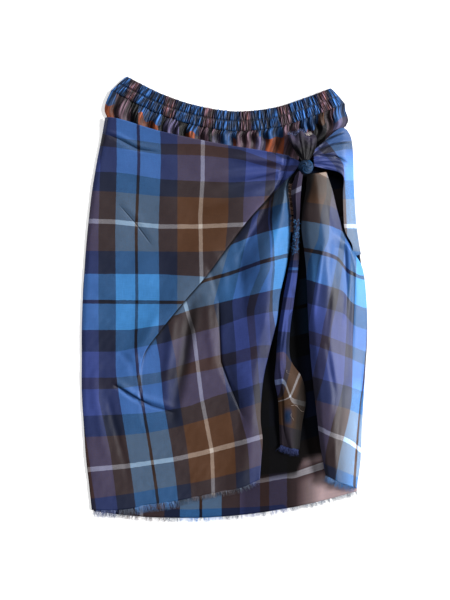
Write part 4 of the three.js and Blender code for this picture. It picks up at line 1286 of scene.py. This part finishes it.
def pleat_shade(grid, node, hidden):
    """How light the cloth under the pleat's edge is: dark close by the edge, and 1 away from it."""
    edge = grid[:, int(np.argmin(np.abs(node - PLEAT_EDGE_NODE)))][:, None, :2]
    run = edge - grid[:, :1, :2]
    run /= np.linalg.norm(run, axis=2, keepdims=True)
    beyond = ((grid[..., :2] - edge) * run).sum(axis=2)
    light = ramp(beyond, 1.2, 3.6) ** 0.8
    strength = np.clip(hidden / 7, 0, 1)[:, None] * np.clip(node[None, :] - PLEAT_EDGE_NODE - 0.9, 0, 1)
    return 1 - 0.93 * strength * (1 - light)


def build_wrap_front(settings):
    """The front's cloth. Its check is charted on both sides of the pleat, and runs on between them. Its tint
    paints shade and light on it.
    """
    us = steps_between(FRONT_STEPS)
    top, middle, hem = np.linspace(0, 0.62, 140), np.linspace(0.62, 0.76, 50), np.linspace(0.76, 1, 64)
    vs = np.concatenate([top, middle[1:], hem[1:]])
    grid = front_grid(us, vs)
    body = cloth_places(grid, LEFT_WARP, LEFT_WEFT)
    drape = cloth_places(grid, RIGHT_WARP, RIGHT_WEFT)
    node = us * len(FRONT_STEPS)
    start = int(np.argmin(np.abs(node - PLEAT_EDGE_NODE)))
    end = int(np.argmin(np.abs(node - PLEAT_DEEP_NODE)))
    share = np.clip((node - PLEAT_EDGE_NODE) / (PLEAT_DEEP_NODE - PLEAT_EDGE_NODE), 0, 1)[None, :, None]
    hidden = body[:, start : start + 1] * (1 - share) + drape[:, end : end + 1] * share
    places = np.where(share <= 0, body, np.where(share >= 1, drape, hidden))
    shade = pleat_shade(grid, node, through([[row[4]] for row in FRONT_ROWS], vs)[:, 0])
    x, y = to_board(grid[..., 0], grid[..., 1])
    above = np.interp(x, *PLEAT_TIP) - y
    places = np.where((above > 0)[..., None], body, places)
    # Painted shade in the troughs, and painted light on two patches of the cloth
    shade = shade * (1 - fold_rise(FRONT_SHADES, grid))
    shade = shade * (1 + 0.4 * spot(x, y, (231, 298), (9, 24)))
    shade = shade * (1 + 0.9 * spot(x, y, (264, 225), (12, 24)))
    # Painted light beside the knot, and painted shade along the pleat's tip
    near_knot = 1 + 0.9 * spot(x, y, (291, 171), (8, 8))
    at_tip = 1 - 0.4 * np.exp(-(((above + 1.5) / 1.5) ** 2)) * (x > 266)
    tint = shades(near_knot * np.where(above > 0, 1, shade) * at_tip)
    material = wrap_cloth(settings, "front", FRONT_CREASES)
    obj = cloth_piece("wrap_cloth_front", "wrap_front", grid, places, tint, material)


def hip_grid(us, vs):
    """Places on the stretch round the hip, whose fan of pleats spreads from the knot."""
    grid = surface(HIP_ROWS, us, vs)
    u, v = np.meshgrid(us, vs)
    fade = np.maximum(0, 1 - 1.94 * v) * np.sin(math.pi * np.minimum(1, 6 * v + 0.25))
    grid[..., 2] += 1.6 * fade * waves(3 * u)
    fine = waves(7.5 * u + 0.8 * np.sin(4 * v + 2 * u))
    grid[..., 2] += 0.55 * fine * np.maximum(0, 1 - 2.1 * v) * np.minimum(1, 8 * v)
    grid[..., 2] += 0.25 * ripple(grid, size=25, seed=3)
    return grid


def build_wrap_hip(settings):
    """The cloth round the hip, with painted light towards the side and painted shade at the top and below the
    hip.
    """
    grid = hip_grid(*map(evenly, HIP_PLACES))
    places = cloth_places(grid, HIP_WARP, HIP_WEFT)
    x, y = to_board(grid[..., 0], grid[..., 1])
    light = 1 + 1.5 * ramp(x, 339, 8) * ramp(y, 150, 20)
    tint = shades(light * (1 - 0.3 * ramp(y, 150, -8)) * (1 - 0.35 * ramp(y, 228, 2)))
    material = wrap_cloth(settings, "hip", HIP_CREASES, **SHINY)
    obj = cloth_piece("wrap_cloth_hip", "wrap_hip", grid, places, tint, material)


def drape_grid(us, vs):
    """Places on the drape that hangs from the knot, with its folds from a little below it."""
    grid = surface(DRAPE_ROWS, us, vs)
    below_knot = np.clip(vs[:, None] * 8, 0, 1)
    grid[..., 2] += fold_rise(DRAPE_FOLDS, grid) * below_knot
    grid[..., 2] += 0.3 * ripple(grid, size=40, seed=11) * below_knot
    return grid


def build_wrap_drape(settings):
    """The right drape: painted shade beside the tail and under the hip, painted light on its crest and its
    side.
    """
    grid = drape_grid(steps_between(DRAPE_STEPS), evenly(DRAPE_PLACES))
    places = cloth_places(grid, DRAPE_WARP, DRAPE_WEFT)
    x, y = to_board(grid[..., 0], grid[..., 1])
    # Painted shade beside the tail and under the hip, painted light on the crest, painted shade in a trough,
    # and painted light down the side
    under = np.interp(y, *DRAPE_UNDER_TAIL) - x
    dark = np.clip(under / 3 + 0.5, 0, 1) * ramp(y, 228, -10)
    top = ramp(y, 210, -18) * ramp(y, np.interp(x, *DRAPE_UNDER_HIP), 2)
    lit = 1.2 * spot(x, y, (314, 294), (8, 30))
    trough = 0.36 * spot(x, y, (336, 300), (7, 22))
    side = ramp(x, 340, 14) * (0.62 + 1.3 * ramp(y, 375, 20))
    tint = shades((1 - 0.95 * dark) * (1 - 0.58 * top) * (1 + side) * (1 + lit) * (1 - trough))
    material = wrap_cloth(settings, "drape", **SHINY)
    obj = cloth_piece("wrap_cloth_drape", "wrap_drape", grid, places, tint, material)


# ---- Knot and its ends ----


def build_knot(settings):
    """A ball of wound cloth, closed at both poles."""
    turns, rings = 144, 80
    around = np.linspace(0, 2 * math.pi, turns, endpoint=False)
    phi, theta = np.meshgrid(around, np.linspace(0.02, math.pi - 0.02, rings))
    x, y, z = np.sin(theta) * np.cos(phi), np.sin(theta) * np.sin(phi), np.cos(theta)
    wound = phi + 0.35 * 6 * z
    lobes = 1 - 0.1 * (1 - z * z) * (0.5 + 0.5 * np.cos(3 * wound))
    fold = np.abs(np.sin(3.5 * wound + 1.6 * x + 0.8 * y)) ** 7
    creases = 1 - 0.08 * fold - 0.02 * np.cos(9 * wound + 4 * y)
    size = lobes * creases
    ball = zip(KNOT_CENTRE, KNOT_RADII, (x, y, z))
    places = np.stack([middle + radius * part * size for middle, radius, part in ball], -1)
    ids = np.arange(turns * rings).reshape(rings, turns)
    after = np.roll(ids, -1, axis=1)
    faces = np.stack([ids[:-1], ids[1:], after[1:], after[:-1]], -1).reshape(-1, 4).tolist()
    faces += [ids[0].tolist(), ids[-1][::-1].tolist()]
    cloth = np.stack([0.15 + 0.03 * np.sin(wound) + 0.0132 * (x + y), 0.25 + 0.03 * y], -1).reshape(-1, 2)
    # Painted shade: the ball darkened overall, darker in its wound folds and on its side towards the waist
    tint = shades(0.62 * (1 - 0.7 * fold) * (1 - 0.45 * np.clip(y, 0, 1)))
    mesh = mesh_of("knot_wraps", places.reshape(-1, 3), faces, tint.reshape(-1, 3), cloth)
    obj = link(mesh, "knot_wraps", wrap_cloth(settings, "knot"))
    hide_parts("knot")


def tail_grid(us, vs):
    """Places on the long corner, whose twist shows as slanting swells."""
    grid = surface(TAIL_ROWS, us, vs)
    u, v = np.meshgrid(us, vs)
    across = np.minimum(1, 5 * np.minimum(u, 1 - u))
    soft = 1.3 * waves(1.6 * u + 1.1 * v + 0.2 * np.sin(11 * v))
    grid[..., 2] += across * (soft + 0.2 * waves(3.7 * u - 2.3 * v))
    return grid


def build_tail(settings):
    """The long corner: painted light down the board, painted shade on its right side, and a brown patch at
    its end.
    """
    grid = tail_grid(*map(evenly, TAIL_PLACES))
    places = cloth_places(grid, TAIL_WARP, TAIL_WEFT)
    x, y = to_board(grid[..., 0], grid[..., 1])
    # Painted light down the board, lighter on the left of its lower part, and painted shade on its right side
    light = np.interp(y, *TAIL_LIGHT) * (1 + 0.9 * ramp(x, 284, -4) * ramp(y, 345, 8))
    right = ramp(x, np.interp(y, *TAIL_RIGHT_EDGE), 4)
    tint = shades(light * (1 - 0.93 * right * ramp(y, 285, 15)))
    patch = np.exp(-(((x - 287.5) / 4) ** 4) - ((y - 416) / 8) ** 4)[..., None]
    tint = tint * (1 - patch * np.array(TAIL_PATCH))
    # Painted shade on the outer side of the lower end
    outer = ramp(x, np.interp(y, *TAIL_OUTER_EDGE), 5)
    low = ramp(y, 352, 10)
    tint = tint * (1 - 0.82 * outer * low)[..., None]
    tint = tint * (1 - low[..., None] * np.array(TAIL_COOLING))
    material = wrap_cloth(settings, "tail", roughness=0.6, gloss=0.15)
    obj = cloth_piece("knot_tail_cloth", "knot_tail", grid, places, tint, material)


def corner_grid(us, vs):
    """Places on the short corner, from its neck in the knot up to its frayed end."""
    grid = surface(CORNER_ROWS, us, vs)
    u, v = np.meshgrid(us, vs)
    swells = 1.1 * waves(1.9 * u + 0.7 * v + 0.25 * np.sin(5 * u)) + 0.5 * waves(5.3 * u - v)
    grid[..., 2] += np.minimum(1, 4 * v) * swells
    grid[..., 2] += 1.6 * v * ripple(grid, size=13, seed=5)
    grid[..., 1] += v * (2.2 * np.sin(13 * u + 1) + 1.4 * np.sin(31 * u + 2))
    grid[..., 0] += 1.5 * v * np.sin(17 * u + 2)
    return grid


def build_corner(settings):
    """The short corner. Its rows run upwards, so they are turned round for its upper face to look up."""
    us, vs = map(evenly, CORNER_PLACES)
    grid = corner_grid(us, vs)
    u, v = np.meshgrid(us, vs)
    places = np.stack([0.53 + 0.09 * u, 0.86 + 0.08 * v], -1)
    # Painted shade: almost black at the neck in the knot, and lighter and darker across the swells
    out_of_neck = np.clip(2.4 * v - 0.95, 0, 1)
    tint = shades(0.05 + 0.85 * out_of_neck * (0.7 + 0.3 * waves(1.9 * u + 0.7 * v)))
    material = wrap_cloth(settings, "corner", roughness=0.6)
    grid, places, tint = (part[:, ::-1] for part in (grid, places, tint))
    obj = cloth_piece("knot_corner_cloth", "knot_corner", grid, places, tint, material)


# ---- Fringes ----


def sett_colour(share, settings):
    """The check's colour at a share of its repeat."""
    share %= 1
    for stripe, width in SETT:
        if share < width:
            return np.array(getattr(settings, stripe))
        share -= width
    return np.array(settings.narrow)


def fringe(settings, name, node, seed, edge, cloth, count, length, looks, side=1, light=PALE_THREAD):
    """Loose threads along a cloth's edge. `edge` is its places in order and `cloth` its shares of the check.

    Looks: how much the threads' lengths differ, lean along the edge and droop, and how pale they get.
    """
    spread, lean, droop, pale = looks
    rng = np.random.default_rng(seed)
    steps = np.linalg.norm(np.diff(edge, axis=0), axis=1)
    at = np.concatenate([[0], np.cumsum(steps)])
    where = np.sort(rng.uniform(0, at[-1], count))
    roots = np.stack([np.interp(where, at, edge[:, k]) for k in range(3)], -1)
    run = np.stack([np.interp(where, at, np.gradient(edge[:, k], at)) for k in range(3)], -1)
    run[:, 2] = 0
    run /= np.maximum(np.linalg.norm(run, axis=1, keepdims=True), 1e-9)
    outward = side * np.stack([run[:, 1], -run[:, 0], np.zeros(count)], -1)
    roots = roots - 0.8 * outward
    roots[:, 2] -= 0.25
    even = np.interp(where, at, np.broadcast_to(length, at.shape))
    reach = even + spread * (rng.random(count) - 0.5) + 0.8
    tips = roots + outward * reach[:, None] + run * (lean * rng.normal(0, 0.6, count))[:, None]
    share = np.interp(where, at, cloth)
    tints = np.array([sett_colour(s, settings) for s in share])
    amount = (rng.random(count) ** 2 * pale)[:, None]
    tints = tints * (1 - amount) + np.array(linear(light)) * amount
    droops = droop * rng.random(count) ** 2
    threads(name, roots, tips, droops, tints, THREAD_RADIUS, node)


def fringe_curls(settings):
    """The curled blue threads of the frayed edge that the long corner is twisted round."""
    rng = np.random.default_rng(7)
    count = 170
    v = rng.uniform(0.19, 0.33, count)
    u = rng.uniform(0.15, 0.9, count)
    tail = tail_grid(*map(evenly, TAIL_PLACES))
    across, down = TAIL_PLACES
    roots = tail[(v * (down - 1)).astype(int), (u * (across - 1)).astype(int)] + [0, 0, 0.3]
    turn = rng.uniform(0, 2 * math.pi, count)
    reach = rng.uniform(2, 4.5, count)
    tips = roots + np.stack([reach * np.cos(turn), reach * np.sin(turn), rng.uniform(0, 1, count)], -1)
    # The blue threads are painted half as light again as their yarn, as painted light
    blue, dark = 1.5 * np.array(settings.bright), np.array(settings.dark)
    share = rng.random(count)[:, None] ** 0.5
    tints = blue * share + dark * (1 - share)
    roots, tips = np.concatenate([roots, LOOSE_FROM]), np.concatenate([tips, LOOSE_TO])
    tints = np.concatenate([tints, [LOOSE_COLOUR] * len(LOOSE_FROM)])
    droops = np.zeros(len(roots))
    threads("tail_curls", roots, tips, droops, tints, CURL_RADIUS)


def build_fringes(settings):
    """Every frayed edge: each follows the last row of its cloth's own places."""
    fine = evenly(300)
    hem, end = np.array([0.97, 1.0]), np.array([0.98, 1.0])

    back = back_grid(fine, hem)
    cloth = cloth_places(back, BACK_WARP, BACK_WEFT)[-1, :, 0]
    fringe(settings, "back_hem_threads", "fringe_back", 1, back[-1], cloth, 900, 6.5, (4, 3, 0.4, 0.6))

    front = front_grid(fine * 0.93 + 0.06, hem)
    cloth = cloth_places(front, RIGHT_WARP, RIGHT_WEFT)[-1, :, 0]
    length = np.interp(front[-1, :, 0], [-80, -50], [11, 6.5])
    fringe(settings, "front_hem_threads", "fringe_front", 2, front[-1], cloth, 620, length, (4, 4, 1.2, 0.5))

    drape = drape_grid(fine * 0.9 + 0.04, hem)
    cloth = np.full(fine.shape, 0.24)
    fringe(settings, "drape_hem_threads", "fringe_drape", 3, drape[-1], cloth, 170, 8.5, (4, 4, 2, 0.7))

    tail = tail_grid(np.array([0.0, 0.02]), fine * 0.2 + 0.04)[:, 0]
    cloth = np.full(fine.shape, 0.57)
    looks = (3, 3, 1, 0.9)
    fringe(settings, "tail_side_threads", "fringe_tail_side", 4, tail, cloth, 150, 4.4, looks, 1, RUST_THREAD)
    fringe_curls(settings)

    tail = tail_grid(fine * 0.9 + 0.05, end)[-1]
    cloth = np.full(fine.shape, 0.05)
    looks = (5, 4, 2, 0.5)
    fringe(settings, "tail_end_threads", "fringe_tail_end", 5, tail, cloth, 110, 9, looks, 1, END_THREAD)

    corner = corner_grid(fine * 0.94 + 0.03, end)
    cloth = np.where(fine > 0.7, WHITE_LINE, 0.9)
    fringe(settings, "corner_threads", "fringe_corner", 6, corner[-1], cloth, 130, 4, (3, 3, 1.5, 0.3), -1)


def build_stage(settings):
    """A pale floor, white air, a low sun at the right with a softer one from the waist, and the camera."""
    bpy.ops.mesh.primitive_plane_add(size=FLOOR_SIZE, location=(0, 0, FLOOR_LEVEL))
    floor = bpy.context.object
    floor.name = "floor"
    nodes = Nodes("pale_floor")
    place = nodes.add("ShaderNodeTexCoord").outputs["Object"]
    colour = nodes.grey(nodes.fitted(nodes.noise(place, 60.0, 3.0), 0.02, 0.93))
    glow = {"Emission Color": (1, 1, 1, 1), "Emission Strength": settings.floor_glow}
    floor.data.materials.append(nodes.finished({"Base Color": colour, "Roughness": 0.9, **glow}))

    world = bpy.context.scene.world or bpy.data.worlds.new("studio")
    bpy.context.scene.world = world
    world.use_nodes = True
    background = world.node_tree.nodes["Background"]
    background.inputs[0].default_value = (1, 1, 1, 1)
    background.inputs[1].default_value = settings.ambient

    for name, azimuth, elevation, power, spread in (
        ("key", 8, settings.key_elevation, settings.key, 14),
        ("fill", 100, math.radians(42), settings.fill, 40),
    ):
        data = bpy.data.lights.new(name, "SUN")
        data.energy, data.angle = power, math.radians(spread)
        lamp = bpy.data.objects.new(name, data)
        turn = math.radians(azimuth)
        flat = math.cos(elevation)
        towards = Vector((math.cos(turn) * flat, math.sin(turn) * flat, math.sin(elevation)))
        lamp.rotation_euler = towards.to_track_quat("Z", "Y").to_euler()
        lamp.location = towards * 3
        bpy.context.scene.collection.objects.link(lamp)

    data = bpy.data.cameras.new("camera")
    data.sensor_fit = "VERTICAL"
    data.sensor_height = 36
    data.lens = data.sensor_height * CAMERA_DISTANCE / VIEW_HEIGHT
    camera = bpy.data.objects.new("camera", data)
    camera.location = (*CAMERA_AT, CAMERA_DISTANCE)
    bpy.context.scene.collection.objects.link(camera)
    bpy.context.scene.camera = camera
    bpy.context.scene.view_settings.view_transform = "Standard"


# ---- The add-on ----


def colour_property(name, description, shown):
    """A yarn's colour, which is given as a display shows it."""
    return bpy.props.FloatVectorProperty(
        name=name, description=description, subtype="COLOR", size=3, min=0, max=1, default=linear(shown)
    )


def strength_property(name, description, strength):
    """How strong a light is."""
    return bpy.props.FloatProperty(name=name, description=description, default=strength, min=0)


class SkirtSettings(bpy.types.PropertyGroup):
    """Sizes, colours and light of the skirt"""

    casing_gathers: bpy.props.IntProperty(
        name="Casing gathers", description="Gathers across the casing's front", default=104, min=40, max=130
    )
    thread_pitch: bpy.props.FloatProperty(
        name="Thread pitch",
        description="Distance from one thread to the next",
        default=0.00045,
        unit="LENGTH",
        min=0.0002,
        max=0.002,
        precision=5,
    )
    sheen: bpy.props.FloatProperty(
        name="Sheen", description="Satin sheen of the cloth", default=0.04, min=0, max=1, subtype="FACTOR"
    )
    bright: colour_property("Bright blue", "Yarn of the wide bright stripes", (0.25, 0.515, 0.775))
    dark: colour_property("Dark", "Yarn of the dark stripes", (0.11, 0.135, 0.22))
    purple: colour_property("Purple", "Yarn of the purple stripes", (0.23, 0.285, 0.53))
    brown: colour_property("Brown", "Yarn of the brown stripes", (0.33, 0.22, 0.15))
    white: colour_property("White", "Yarn of the thin pale stripe", (0.78, 0.73, 0.69))
    line: colour_property("Line", "Yarn of the thin dark line", (0.07, 0.06, 0.08))
    narrow: colour_property("Narrow dark", "Yarn of the narrow dark stripe", (0.19, 0.16, 0.22))
    mauve: colour_property("Mauve", "Mauve yarn of the base skirt", (0.5, 0.39, 0.45))
    lilac: colour_property("Lilac", "Lilac yarn of the base skirt", (0.45, 0.42, 0.58))
    navy: colour_property("Navy", "Navy yarn of the base skirt", (0.12, 0.17, 0.32))
    base_blue: colour_property("Base blue", "Blue yarn of the base skirt", (0.24, 0.43, 0.7))
    base_black: colour_property("Base black", "Black yarn of the base skirt", (0.07, 0.07, 0.1))
    orange: colour_property("Orange", "Orange yarn of the base skirt", (0.72, 0.38, 0.25))
    key: strength_property("Key", "Strength of the low light at the right", 4.3)
    key_elevation: bpy.props.FloatProperty(
        name="Key elevation",
        description="Height of the low light over the floor",
        default=math.radians(35),
        subtype="ANGLE",
        unit="ROTATION",
    )
    fill: strength_property("Fill", "Strength of the soft light from the waist's side", 0.85)
    ambient: strength_property("Ambient", "Light from all round", 0.05)
    floor_glow: strength_property("Floor glow", "Own light of the pale floor", 0.5)


def piece_operator(idname, label, description, build):
    """An operator that builds one piece, or one group of like pieces."""

    def execute(self, context):
        build(context.scene.skirt)
        return {"FINISHED"}

    return type(
        "SKIRT_OT_" + idname,
        (bpy.types.Operator,),
        {
            "bl_idname": "skirt." + idname,
            "bl_label": label,
            "bl_options": {"REGISTER", "UNDO"},
            "__doc__": description,
            "execute": execute,
        },
    )


OPERATORS = [
    piece_operator("casing", "Casing", "Build the shirred elastic casing, front and back", build_casing),
    piece_operator("stitches", "Shirring thread", "Build the rows of shirring thread", build_stitches),
    piece_operator("yoke", "Yoke", "Build the gathered yoke, front and back", build_yoke),
    piece_operator("wrap_back", "Wrap, back", "Build the wrap's stretch over the back", build_wrap_back),
    piece_operator("wrap_front", "Wrap, front", "Build the wrap's front with its pleat", build_wrap_front),
    piece_operator("wrap_drape", "Wrap, right drape", "Build the drape below the knot", build_wrap_drape),
    piece_operator("wrap_hip", "Wrap, hip", "Build the pleated stretch round the hip", build_wrap_hip),
    piece_operator("knot", "Knot", "Build the knot", build_knot),
    piece_operator("tail", "Knot tail", "Build the long corner that hangs in the gap", build_tail),
    piece_operator("corner", "Knot corner", "Build the short corner above the knot", build_corner),
    piece_operator("fringes", "Fringes", "Build the frayed edges", build_fringes),
    piece_operator("stage", "Stage", "Build the floor, the lights and the camera", build_stage),
]


class SKIRT_PT_panel(bpy.types.Panel):
    """Builds the skirt piece by piece"""

    bl_label = "Checked wrap skirt"
    bl_idname = "SKIRT_PT_panel"
    bl_space_type = "VIEW_3D"
    bl_region_type = "UI"
    bl_category = "Skirt"

    def draw(self, context):
        for operator in OPERATORS:
            self.layout.operator(operator.bl_idname)


CLASSES = [SkirtSettings, *OPERATORS, SKIRT_PT_panel]


def register():
    for cls in CLASSES:
        bpy.utils.register_class(cls)
    bpy.types.Scene.skirt = bpy.props.PointerProperty(type=SkirtSettings)


def unregister():
    del bpy.types.Scene.skirt
    for cls in reversed(CLASSES):
        bpy.utils.unregister_class(cls)


def main():
    register()
    bpy.ops.skirt.stage()
    bpy.ops.skirt.casing()
    bpy.ops.skirt.stitches()
    bpy.ops.skirt.yoke()
    bpy.ops.skirt.wrap_back()
    bpy.ops.skirt.wrap_front()
    bpy.ops.skirt.wrap_drape()
    bpy.ops.skirt.wrap_hip()
    bpy.ops.skirt.knot()
    bpy.ops.skirt.tail()
    bpy.ops.skirt.corner()
    bpy.ops.skirt.fringes()


if __name__ == "__main__":
    main()
